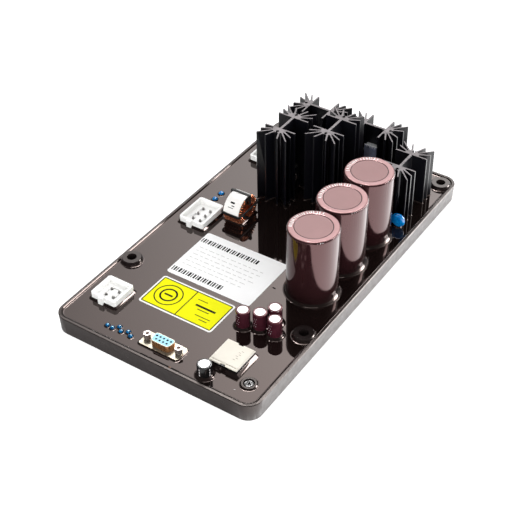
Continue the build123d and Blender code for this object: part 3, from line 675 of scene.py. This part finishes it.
def wrinkles(seed, radius, top, shoulder, size, counts):
    """Fine pleats in the film where it turns over the shoulder, of counts between two limits."""
    dice = random.Random(seed)
    waves, slow = [], []
    for _ in range(4):
        waves.append((dice.randint(*counts), dice.uniform(0, ROUND), dice.uniform(0.4, 1)))
    for _ in range(3):
        slow.append((dice.randint(2, 5), dice.uniform(0, ROUND)))
    total = sum(w[2] for w in waves)

    def ripple(point, centre):
        around = math.atan2(point.y - centre[1], point.x - centre[0])
        out = math.hypot(point.x - centre[0], point.y - centre[1])
        near = max(0.0, 1 - abs(point.z - top + 0.5 * shoulder) / (1.8 * shoulder))
        rim = max(0.0, (out - (radius - 2.4 * shoulder)) / (2.4 * shoulder))
        depth = size * near * min(1.0, rim)
        pleat = sum(w * math.sin(n * around + phase) for n, phase, w in waves) / total
        body = sum(math.sin(n * around + phase + point.z * 40) for n, phase in slow) / 3
        shift = depth * pleat + 0.05 * MM * body * (1 - near)
        scale = (out - abs(shift) * 0.6) / out
        return scaled(point, centre, scale, point.z - abs(depth * pleat) * 0.8)

    return ripple


def make_sleeve(node, name, finish, shoulder, lip, film, pleats, counts, steps):
    """Smooth sleeve in the place of a node."""
    low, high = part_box(node)
    radius = half_width(node)
    profile = sleeve_profile(radius, low.z, high.z, shoulder, lip, film)
    ripple = wrinkles(name, radius, high.z, shoulder, pleats, counts)
    skin = Skin()
    skin.rings(revolved(middle(node), profile, steps, ripple), loop=True)
    piece = skin.piece(name, finish, finish)
    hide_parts(node)


def make_capacitors():
    """Sleeves of the large and small capacitors, and black rings of painted shade round the large
    ones' discs, in the gap between disc and lip.
    """
    for node in BULK_SLEEVES:
        make_sleeve(node, node.replace("_capacitor", ""), "brown_sleeve", *LARGE_SLEEVE)
    for node in SMALL_SLEEVES:
        make_sleeve(node, node.replace("_capacitor", ""), "maroon_sleeve", *SMALL_SLEEVE)
    make_sleeve(BLACK_SLEEVE, "black_film", "black_sleeve", *SMALL_SLEEVE)
    # Black rings over the gap between each disc and the lip: painted shade of that gap.
    skin = Skin()
    for number in (1, 2, 3):
        disc = f"bulk_capacitor_disc_{number}"
        edge, level = half_width(disc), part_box(disc)[0].z
        inner, outer = edge - SHADE_RING_INSIDE, edge + SHADE_RING_WIDTH
        foot, top = level - SHADE_RING_INSIDE, level + SHADE_RING_TOP
        profile = ((inner, foot), (outer, foot), (outer, top), (inner, top))
        skin.rings(revolved(middle(disc), profile, 120), loop=True)
    skin.piece("disc_gap_shade", "black_sleeve", "black_sleeve")


PATCH_SUNK = 0.1 * MM
PATCH_PROUD = 0.03 * MM
DASH_HEIGHT = 0.4 * MM
# Stripes on the black sleeve: painted highlights where its upright white glints fall.
HIGHLIGHT_HEIGHT = 1.5 * MM
BLACK_SLEEVE_HIGHLIGHTS = ((182, 190), (98, 106))  # azimuths of the stripes on the black sleeve


def curved_patch(skin, centre, radius, start, end, low, high):
    """Thin closed patch on an upright cylinder, between two azimuths in degrees."""
    inner, outer = radius - PATCH_SUNK, radius + PATCH_PROUD
    steps = max(2, math.ceil((end - start) / 6))
    rings = []
    for step in range(steps + 1):
        facing = aim(start + (end - start) * step / steps, 0)
        ring = []
        for r, height in ((inner, low), (outer, low), (outer, high), (inner, high)):
            ring.append(Vector((centre.x + r * facing.x, centre.y + r * facing.y, height)))
        rings.append(ring)
    skin.rings(rings)


def make_sleeve_print_and_highlights():
    """Pale dashes of print on the small sleeves, and pale stripes on the black sleeve that are
    painted highlights, by formula.
    """
    skin = Skin()
    for name in SMALL_SLEEVES:
        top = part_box(name)[1].z
        for row in range(4):
            for column in range(2):
                start = 176 + 17 * column + 6 * (row % 2)
                foot = top - (3.6 + 2.1 * row) * MM
                span = (start, start + 4, foot, foot + DASH_HEIGHT)
                curved_patch(skin, middle(name), half_width(name), *span)
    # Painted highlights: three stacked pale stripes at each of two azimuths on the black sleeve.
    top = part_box(BLACK_SLEEVE)[1].z
    for start, end in BLACK_SLEEVE_HIGHLIGHTS:
        for row in range(3):
            foot = top - (3.2 + 2.2 * row) * MM
            span = (start, end, foot, foot + HIGHLIGHT_HEIGHT)
            curved_patch(skin, middle(BLACK_SLEEVE), half_width(BLACK_SLEEVE), *span)
    skin.piece("sleeve_marks", "pale_print_and_highlight", "maroon_sleeve")


# Pale strokes over the large sleeves' pleats are painted highlights of their glints.
CREASE_HIGHLIGHTS_FROM = -122.0  # azimuths between which the creases lie
CREASE_HIGHLIGHTS_TO = -4


def make_crease_highlights():
    """Pale radial strokes on the turned-over film of the large sleeves, at their backs: painted
    highlights of the pleats' glints, in the white tape finish.
    """
    dice = random.Random(23)
    skin = Skin()
    for name in BULK_SLEEVES:
        centre = middle(name)
        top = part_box(name)[1].z
        azimuth = CREASE_HIGHLIGHTS_FROM
        while azimuth < CREASE_HIGHLIGHTS_TO:
            along = aim(azimuth, 0)
            across = Vector((along.y, -along.x, 0))
            near = dice.uniform(13.5, 14.2) * MM
            far = dice.uniform(15.9, 16.4) * MM
            half = dice.uniform(0.2, 0.5) * MM
            corners = ((near, -half), (far, -half), (far, half), (near, half))
            ring = [centre + along * r + across * side for r, side in corners]
            skin.slab(ring, top - 0.12 * MM, top - 0.01 * MM)
            azimuth += dice.uniform(4.5, 9.5)
    skin.piece("crease_highlights", "tape_white", "brown_sleeve")


# Choke

WIRE = 1.2 * MM
CORE_OUTER = 10.8 * MM
CORE_INNER = 7.6 * MM
TURN_STEP = 10.0
TURNS = 15
BANK_STARTS = (-70.0, 110.0)
WIRE_BEND = 1.3 * MM
TAPE_FILM = 0.22 * MM
TAPE_START, TAPE_END = 62.0, 171.0
TAPE_STEPS_ALONG, TAPE_STEPS_ACROSS = 90, 22
# Bars on the tape: start and end in degrees, place and half length along the core in millimetres
TAPE_BARS = ((128, 134, -0.6, 1.7), (140, 143, 0.6, 1.2), (148, 150, -1.0, 2.2))


def choke_point(angle, radius, along):
    """Point near the choke: angle from the back, upwards, in degrees."""
    centre = middle("choke_core")
    turn = math.radians(angle)
    return centre + Vector((along, radius * math.cos(turn), radius * math.sin(turn)))


def wire_loop(angle, lean, out):
    """Centre line of one turn round the ring's section."""
    side = half_width("choke_core") + WIRE / 2
    far = CORE_OUTER + WIRE / 2 + out
    near = CORE_INNER - WIRE / 2
    bend = WIRE_BEND
    corners = (
        (far - bend, side - bend, 0),
        (near + bend, side - bend, 90),
        (near + bend, bend - side, 180),
        (far - bend, bend - side, 270),
    )
    line = []
    for radius, along, start in corners:
        for step in range(5):
            turn = math.radians(start + 90 * step / 4)
            r = radius + bend * math.cos(turn)
            a = along + bend * math.sin(turn)
            line.append(choke_point(angle + lean * a / side, r, a))
    return line


def tube_along(skin, line, radius, sides=8):
    """Closed tube along a closed line of points."""
    count = len(line)
    hub = sum(line, Vector()) / count
    across = (line[count // 4] - hub).cross(line[0] - hub).normalized()
    turns = [2 * math.pi * step / sides for step in range(sides)]
    rings = []
    for index, point in enumerate(line):
        ahead = (line[(index + 1) % count] - line[index - 1]).normalized()
        out = ahead.cross(across).normalized()
        side = out.cross(ahead).normalized()
        rings.append([point + radius * (math.cos(t) * out + math.sin(t) * side) for t in turns])
    skin.rings(rings, loop=True)


def make_winding():
    """Round copper wire, turn by turn, in two banks."""
    dice = random.Random(7)
    skin = Skin()
    for start in BANK_STARTS:
        for index in range(TURNS):
            angle = start + index * TURN_STEP + dice.uniform(-0.7, 0.7)
            line = wire_loop(angle, dice.uniform(-1.2, 1.2), -dice.uniform(0, 0.08) * MM)
            tube_along(skin, line, 0.49 * WIRE)
    piece = skin.piece("choke_wire", "copper", "copper")
    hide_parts("choke_winding")


def make_tape():
    """White tape over the turns, creased and a little slack at its edges."""
    dice = random.Random(11)
    creases = []
    for _ in range(7):
        creases.append((dice.uniform(4, 14), dice.uniform(0.2, 1.1), dice.uniform(0, ROUND)))
    half = half_width("choke_tape")
    outer = middle("choke_core").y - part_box("choke_tape")[0].y
    rings = []
    for step in range(TAPE_STEPS_ALONG + 1):
        share = step / TAPE_STEPS_ALONG
        angle = TAPE_START + (TAPE_END - TAPE_START) * share
        upper, lower = [], []
        for cross_step in range(TAPE_STEPS_ACROSS + 1):
            a = (2 * cross_step / TAPE_STEPS_ACROSS - 1) * half * 0.99
            crease = sum(math.sin(n * share * ROUND + k * a / MM + p) for n, k, p in creases)
            fall = min(0.05 * MM * (crease / 3 - 1), 0) - 0.25 * MM * abs(a / half) ** 6
            upper.append(choke_point(angle, outer + fall, a))
            lower.append(choke_point(angle, outer + fall - TAPE_FILM, a))
        rings.append(upper + lower[::-1])
    skin = Skin()
    skin.rings(rings)
    piece = skin.piece("choke_tape_skin", "tape_white", "tape_white")
    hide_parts("choke_tape")


def make_tape_marks():
    """Short black bars on the tape."""
    outer = middle("choke_core").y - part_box("choke_tape")[0].y + 0.04 * MM
    inner = outer - 0.4 * MM
    skin = Skin()
    for start, end, along, half in TAPE_BARS:
        rings = []
        for step in range(4):
            angle = start + (end - start) * step / 3
            low_a, high_a = (along - half) * MM, (along + half) * MM
            corners = ((inner, low_a), (outer, low_a), (outer, high_a), (inner, high_a))
            rings.append([choke_point(angle, r, a) for r, a in corners])
        skin.rings(rings)
    skin.piece("tape_marks", "ink_black", "tape_white")


# Blue dipped parts

DROPS = (
    ("bead_capacitors", "blue_beads", "bead_blue"),
    ("button_capacitors", "blue_buttons", "dip_blue"),
)
DROP_SUNK = 1.0 * MM
DISC_STEPS = 14
DISC_SPOTS = 48
# Necks of the disc: distance from its middle, and radius and height over the resin, in millimetres
NECK_ASIDE = 2.5
NECK_PROFILE = ((0.4, -0.8), (0.42, 0.6), (0.6, 1.0), (0.95, 1.6), (0.9, 2.6))


def drop_rings(centre, radius, foot, top, seed):
    """Upright drop with a domed top, slightly out of round."""
    dice = random.Random(seed)
    phase = dice.uniform(0, ROUND)
    stretch = dice.uniform(0.02, 0.07)
    dome = 0.95 * radius
    profile = [(radius * 0.9, foot), (radius * 0.96, foot + 0.3 * (top - dome - foot))]
    for step in range(9):
        turn = math.radians(10 * step)
        profile.append((radius * math.cos(turn) ** 0.8 * 0.99, top - dome + dome * math.sin(turn)))

    def squeeze(point, centre):
        around = math.atan2(point.y - centre[1], point.x - centre[0])
        grow = 1 - stretch * (1 + math.cos(2 * around + phase)) / 2
        return scaled(point, centre, grow, point.z)

    return revolved(centre, profile, 28, squeeze)


def make_drops():
    """Beads and buttons as dipped drops."""
    foot = RESIN_TOP - DROP_SUNK
    for node, name, finish in DROPS:
        skin = Skin()
        for index, (centre, radius) in enumerate(loose_parts(node)):
            skin.rings(drop_rings(centre, radius, foot, centre.z, f"{name}{index}"))
        piece = skin.piece(name, finish, "dip_blue")
        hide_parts(node)


def make_disc():
    """Dipped disc as a lens with a soft rim, on two short necks."""
    low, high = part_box("blue_disc")
    radius = half_width("blue_disc")
    half = (high.y - low.y) / 2
    centre = Vector(((low.x + high.x) / 2, (low.y + high.y) / 2, high.z - radius))
    skin = Skin()
    rings = []
    for step in range(1, DISC_STEPS):
        turn = math.pi * (step / DISC_STEPS - 0.5)
        r = radius * math.cos(turn) ** 0.55
        y = half * math.sin(turn)
        ring = []
        for spot in range(DISC_SPOTS):
            around = 2 * math.pi * spot / DISC_SPOTS
            bump = 1 - 0.012 * (1 + math.sin(3 * around + 1)) - 0.01 * (1 + math.sin(5 * around))
            across = r * bump * math.cos(around)
            ring.append(centre + Vector((across, y, r * bump * math.sin(around))))
        rings.append(ring)
    skin.rings(rings)
    for side in (-1, 1):
        foot = (centre.x + side * NECK_ASIDE * MM, centre.y)
        profile = [(r * MM, RESIN_TOP + z * MM) for r, z in NECK_PROFILE]
        skin.rings(revolved(foot, profile, 16))
    piece = skin.piece("blue_disc_body", "dip_blue", "dip_blue")
    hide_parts("blue_disc")


# Port mouths and rim runs of painted shade, a stain and a speck

# Black discs of painted shade in the port's contact holes, their depth and top below the insert's
# face
MOUTH_SHADE_SUNK = 0.3 * MM
MOUTH_SHADE_TOP = 0.05 * MM  # how far below the insert's face the mouths end
# Runs of painted shade near the front rim, the dark reflection in the gap between resin and rim
# before the port: place along X, length and width in millimetres
RIM_SHADE_RUNS = ((-5.2, 5.6, 0.9), (6.6, 15.5, 1.1), (19.6, 6.0, 0.9))
RIM_SHADE_INSET = 0.9
LABEL_STAIN = (29.0, -38.6, 2.6, 0.8)
STAIN_AND_SHADE_SECTION = ((0, -0.1), (0.05, 0.25), (0.25, 0.42))  # inset and height in millimetres
SPECK = (60.0, -130.8)
SPECK_RADIUS = 0.45


def make_port_holes():
    """Black discs just inside the port's contact mouths: painted shade of their holes."""
    skin = Skin()
    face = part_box("serial_port_insert")[1].z
    for centre, radius in loose_parts("serial_port_contacts"):
        ring = circle(centre, radius * 0.98, 24)
        skin.slab(ring, face - MOUTH_SHADE_SUNK, face - MOUTH_SHADE_TOP)
    skin.piece("port_mouth_shade", "black_stain_and_shade", "contact_metal")


def make_stain_and_rim_shade():
    """Dark runs along the front rim before the port, painted shade and dark reflection of the gap
    between resin and rim, and one real stain beside the white label.
    """
    skin = Skin()
    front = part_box("potting")[0].y / MM + RIM_SHADE_INSET
    runs = [(x, front, length, width) for x, length, width in RIM_SHADE_RUNS]
    for x, y, length, width in (*runs, LABEL_STAIN):
        centre = (x * MM, y * MM)
        rings = []
        for inset, height in STAIN_AND_SHADE_SECTION:
            half_x, half_y = (length / 2 - inset) * MM, (width / 2 - inset) * MM
            ring = rounded(centre, half_x, half_y, half_y * 0.98)
            rings.append(at_height(ring, RESIN_TOP + height * MM))
        skin.rings(rings)
    skin.piece("rim_shade_and_stain", "black_stain_and_shade", "resin")


def make_speck():
    """One pale speck on the resin at the front right."""
    skin = Skin()
    ring = circle((SPECK[0] * MM, SPECK[1] * MM), SPECK_RADIUS * MM, 16)
    skin.slab(ring, RESIN_TOP - 0.05 * MM, RESIN_TOP + 0.1 * MM)
    skin.piece("resin_speck", "pale_print_and_highlight", "resin")


# Print on the labels

INK = 0.02 * MM  # thickness of one layer
# Rows of bars on the white label: place across, start and end in millimetres from its middle
BAR_ROWS = ((16.1, -33.2, 15.0), (-19.5, -32.8, 9.0))
BAR_LENGTH = 4.4
BAR_WIDTHS = (0.8, 1.3, 0.8, 1.6)
BAR_GAPS = (0.9, 0.75, 1.1)
DASH_WIDTHS = (3.2, 1.8, 4.4, 2.6)
DASH_ROW = 4.1
# Shapes on the yellow label: x, y, width and length in millimetres from its middle
FIELD_SIGN_X = -15.2
FIELD_RINGS = ((10.2, 0.8), (6.4, 1.3))  # radius and line width
FIELD_BARS = (
    (FIELD_SIGN_X, 0, 6.6, 1.5),
    (13.8, 2.2, 16.0, 1.7),
    (13.8, -0.8, 9.0, 0.7),
    (17.0, -6.0, 12.0, 0.6),
    (19.0, -8.6, 6.5, 0.6),
    (8.0, 7.4, 8.0, 0.6),
)


class Print:
    """Thin closed shapes lying on a label, in millimetres from its middle."""

    def __init__(self, label, lift=0):
        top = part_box(label)[1].z
        self.middle = middle(label)
        self.half = half_size(label)
        self.low = top - 0.01 * MM + lift * INK
        self.high = top + (1 + lift) * INK
        self.skin = Skin()

    def spot(self, x, y):
        return (self.middle.x + x * MM, self.middle.y + y * MM)

    def patch(self, x, y, width, length, corner=0.02):
        """Filled rectangle with round corners."""
        half_x, half_y = width * MM / 2, length * MM / 2
        ring = rounded(self.spot(x, y), half_x, half_y, corner * MM, 1 if corner < 0.1 else 6)
        self.skin.slab(ring, self.low, self.high)

    def outline(self, ring_at, line):
        """Band between a ring and the same ring moved in by a line's width."""
        rings = []
        for inset, height in ((0, self.low), (0, self.high), (line, self.high), (line, self.low)):
            rings.append(at_height(ring_at(inset * MM), height))
        self.skin.rings(rings, loop=True)

    def border(self, x, y, width, length, corner, line):
        centre = self.spot(x, y)
        half_x, half_y = width * MM / 2, length * MM / 2
        self.outline(
            lambda inset: rounded(centre, half_x - inset, half_y - inset, corner * MM - inset), line
        )

    def ring(self, x, y, radius, line):
        centre = self.spot(x, y)
        self.outline(lambda inset: circle(centre, radius * MM - inset, 48), line)

    def piece(self, name, finish, slot):
        return self.skin.piece(name, finish, slot, smooth=False)


def print_data_label():
    """Two rows of plain bars and a few faint dashes, by formula."""
    black = Print("data_label")
    for row_y, start, end in BAR_ROWS:
        x = start
        index = 0
        while x < end:
            width = BAR_WIDTHS[index % len(BAR_WIDTHS)]
            gap = BAR_GAPS[index % len(BAR_GAPS)]
            black.patch(x + width / 2, row_y, width, BAR_LENGTH)
            x += width + gap
            index += 1
    black.piece("data_label_bars", "ink_black", "label_white")
    grey = Print("data_label")
    for row in range(6):
        x = -30.0
        index = row
        while x < 24 - 3 * (row % 3):
            width = DASH_WIDTHS[index % len(DASH_WIDTHS)]
            grey.patch(x + width / 2, 8.6 - DASH_ROW * row, width, 0.4)
            x += width + 1.6
            index += 1
    grey.piece("data_label_dashes", "ink_grey", "label_white")


def print_field_label():
    """Yellow field with a black border, a divider and neutral shapes."""
    field = Print("field_label")
    width = 2 * field.half.x / MM
    length = 2 * field.half.y / MM
    field.patch(0, 0, width - 2.4, length - 2.4, 1.2)
    field.piece("field_label_yellow", "ink_yellow", "label_yellow")
    black = Print("field_label", lift=1)
    black.border(0, 0, width - 2.6, length - 2.6, 1.1, 0.75)
    black.patch(-0.3, 0, 0.7, length - 3.4)
    for radius, line in FIELD_RINGS:
        black.ring(FIELD_SIGN_X, 0, radius, line)
    for bar in FIELD_BARS:
        black.patch(*bar)
    black.piece("field_label_lines", "ink_black", "label_yellow")


def print_cover():
    """Faint dashes on the module's cover, by formula."""
    brown = Print("module_cover")
    front = 1.6 - brown.half.y / MM
    for column in range(9):
        if column != 4:
            brown.patch(-8.2 + 2.05 * column, front, 1.3, 0.25)
    for row in range(6):
        brown.patch(3.2 + 1.1 * (row % 2), -3.0 + 1.7 * row, 1.6, 0.3)
    brown.piece("cover_dashes", "ink_brown", "cover_cream")


# Light, floor and camera


def aim(azimuth, elevation):
    """Unit vector from an azimuth east of +Y and an elevation, in degrees."""
    a, e = math.radians(azimuth), math.radians(elevation)
    return Vector((math.sin(a) * math.cos(e), math.cos(a) * math.cos(e), math.sin(e)))


# Soft lights in the sky: azimuth, elevation, sharpness of the fall-off, radiance
SKY_LIGHTS = (
    (-18, 44, 14, 2.0),
    (-10, 80, 6, 0.35),
    (52, 12, 10, 0.8),
    (182, 8, 5, 3.4),
    (102, 8, 5, 2.9),
    (-85, 6, 5, 2.2),
    (5, 6, 5, 1.6),
)
# What mirrors find in the sky, so that the resin shows its glow and its edges stay dark
MIRRORED_LIGHTS = (
    (-18, 46, 14, 6.2),
    (52, 12, 10, 2.8),
)
AMBIENT = 0.13
MIRRORED_AMBIENT = 0.14


def make_sky():
    """World that the camera sees white, and that lights the part from a few soft places."""
    world = bpy.data.worlds.new("studio")
    bpy.context.scene.world = world
    world.use_nodes = True
    tree = world.node_tree
    direction = add_node(tree, "TexCoord", {})["Generated"]

    def add_glows(total, lights):
        """Sum of a level and the glow of each light."""
        for azimuth, elevation, sharpness, radiance in lights:
            inputs = {0: direction, 1: aim(azimuth, elevation)}
            dot = add_node(tree, "VectorMath", inputs, operation="DOT_PRODUCT")["Value"]
            facing = calc(tree, "MAXIMUM", dot, 0.0)
            glow = calc(tree, "POWER", facing, sharpness)
            total = calc(tree, "MULTIPLY_ADD", glow, radiance, total)
        return total

    path = add_node(tree, "LightPath", {})
    glossy = path["Is Glossy Ray"]
    lit = add_glows(AMBIENT, SKY_LIGHTS)
    mirrored = add_glows(MIRRORED_AMBIENT, MIRRORED_LIGHTS)
    lit = calc(tree, "MULTIPLY", lit, calc(tree, "SUBTRACT", 1.0, glossy))
    total = calc(tree, "MULTIPLY_ADD", mirrored, glossy, lit)
    seen = calc(tree, "MAXIMUM", path["Is Camera Ray"], path["Is Transmission Ray"])
    unseen = calc(tree, "SUBTRACT", 1.0, seen)
    strength = calc(tree, "MULTIPLY_ADD", total, unseen, seen)
    feed(tree, tree.nodes["Background"], {"Color": (1, 1, 1, 1), "Strength": strength})


LAMP_DISTANCE = 1.4
# Bright lamps: name, azimuth, elevation, width and height in metres, radiance
GLINT_LAMPS = (
    ("right_lamp", 46, 20, 0.45, 0.9, 36),
    ("top_lamp", -34, 84, 0.5, 0.6, 7),
    ("spot_lamp", -40, 62, 0.4, 0.26, 60),
)


def make_glints():
    """Rectangular lamps that only glossy surfaces show, as bright lines on curved edges."""
    for name, azimuth, elevation, width, height, radiance in GLINT_LAMPS:
        data = bpy.data.lights.new(name, "AREA")
        data.shape = "RECTANGLE"
        data.size = width
        data.size_y = height
        data.energy = radiance * width * height * math.pi
        lamp = bpy.data.objects.new(name, data)
        toward = aim(azimuth, elevation)
        lamp.location = LAMP_DISTANCE * toward
        lamp.rotation_euler = (-toward).to_track_quat("-Z", "Y").to_euler()
        lamp.visible_diffuse = False
        bpy.context.scene.collection.objects.link(lamp)


FLOOR_HALF_SIZE = 3.0
FLOOR_GREY = 0.8
FLOOR_SEEN = 0.62  # glow that the camera adds to the lit floor, so that it is white
FLOOR_CHANGE = (0.055, 0.1)  # where along X its glow in mirrors changes
FLOOR_MIRROR = (0.15, 3.6)  # that glow before the change and after it


def floor_material():
    """Matt pale floor whose glow differs for the camera and for mirrors."""
    material = bpy.data.materials.new("floor")
    material.use_nodes = True
    tree = material.node_tree
    path = add_node(tree, "LightPath", {})
    place = add_node(tree, "TexCoord", {})["Object"]
    across = add_node(tree, "SeparateXYZ", {"Vector": place})["X"]
    side = map_range(tree, across, FLOOR_CHANGE + FLOOR_MIRROR, "SMOOTHSTEP")
    seen = calc(tree, "MULTIPLY", path["Is Camera Ray"], FLOOR_SEEN)
    glow = calc(tree, "MULTIPLY_ADD", path["Is Glossy Ray"], side, seen)
    grey = (FLOOR_GREY, FLOOR_GREY, FLOOR_GREY, 1)
    inputs = {"Base Color": grey, "Roughness": 0.9, "Specular IOR Level": 0.0}
    inputs |= {"Emission Color": (1, 1, 1, 1), "Emission Strength": glow}
    feed(tree, tree.nodes["Principled BSDF"], inputs)
    return material


def make_floor():
    """Pale floor that the camera sees as white, with the part's shadow."""
    size = FLOOR_HALF_SIZE
    mesh = bpy.data.meshes.new("floor")
    corners = [(-size, -size, 0), (size, -size, 0), (size, size, 0), (-size, size, 0)]
    mesh.from_pydata(corners, [], [(0, 1, 2, 3)])
    mesh.materials.append(floor_material())
    floor = bpy.data.objects.new("floor", mesh)
    bpy.context.scene.collection.objects.link(floor)


def make_camera():
    """Camera fitted to the photograph."""
    view = -aim(CAMERA_AZIMUTH + 180, CAMERA_ELEVATION)
    roll = math.radians(CAMERA_ROLL)
    level_right = view.cross(Vector((0, 0, 1))).normalized()
    level_up = level_right.cross(view)
    right = level_right * math.cos(roll) + level_up * math.sin(roll)
    up = level_up * math.cos(roll) - level_right * math.sin(roll)
    data = bpy.data.cameras.new("photo_camera")
    data.sensor_width = SENSOR
    data.lens = FOCAL_PIXELS / FRAME_PIXELS * SENSOR
    data.clip_start = 0.01
    camera = bpy.data.objects.new("photo_camera", data)
    turn = Matrix((right, up, -view)).transposed()
    camera.matrix_world = Matrix.Translation(Vector(CAMERA_PLACE) * MM) @ turn.to_4x4()
    bpy.context.scene.collection.objects.link(camera)
    bpy.context.scene.camera = camera


dress_frame()
make_creep()
make_capacitors()
make_sleeve_print_and_highlights()
make_crease_highlights()
make_winding()
make_tape()
make_tape_marks()
make_drops()
make_disc()
make_port_holes()
make_stain_and_rim_shade()
make_speck()
print_data_label()
print_field_label()
print_cover()
make_floor()
make_sky()
make_glints()
make_camera()
bpy.context.scene.view_settings.view_transform = "Standard"
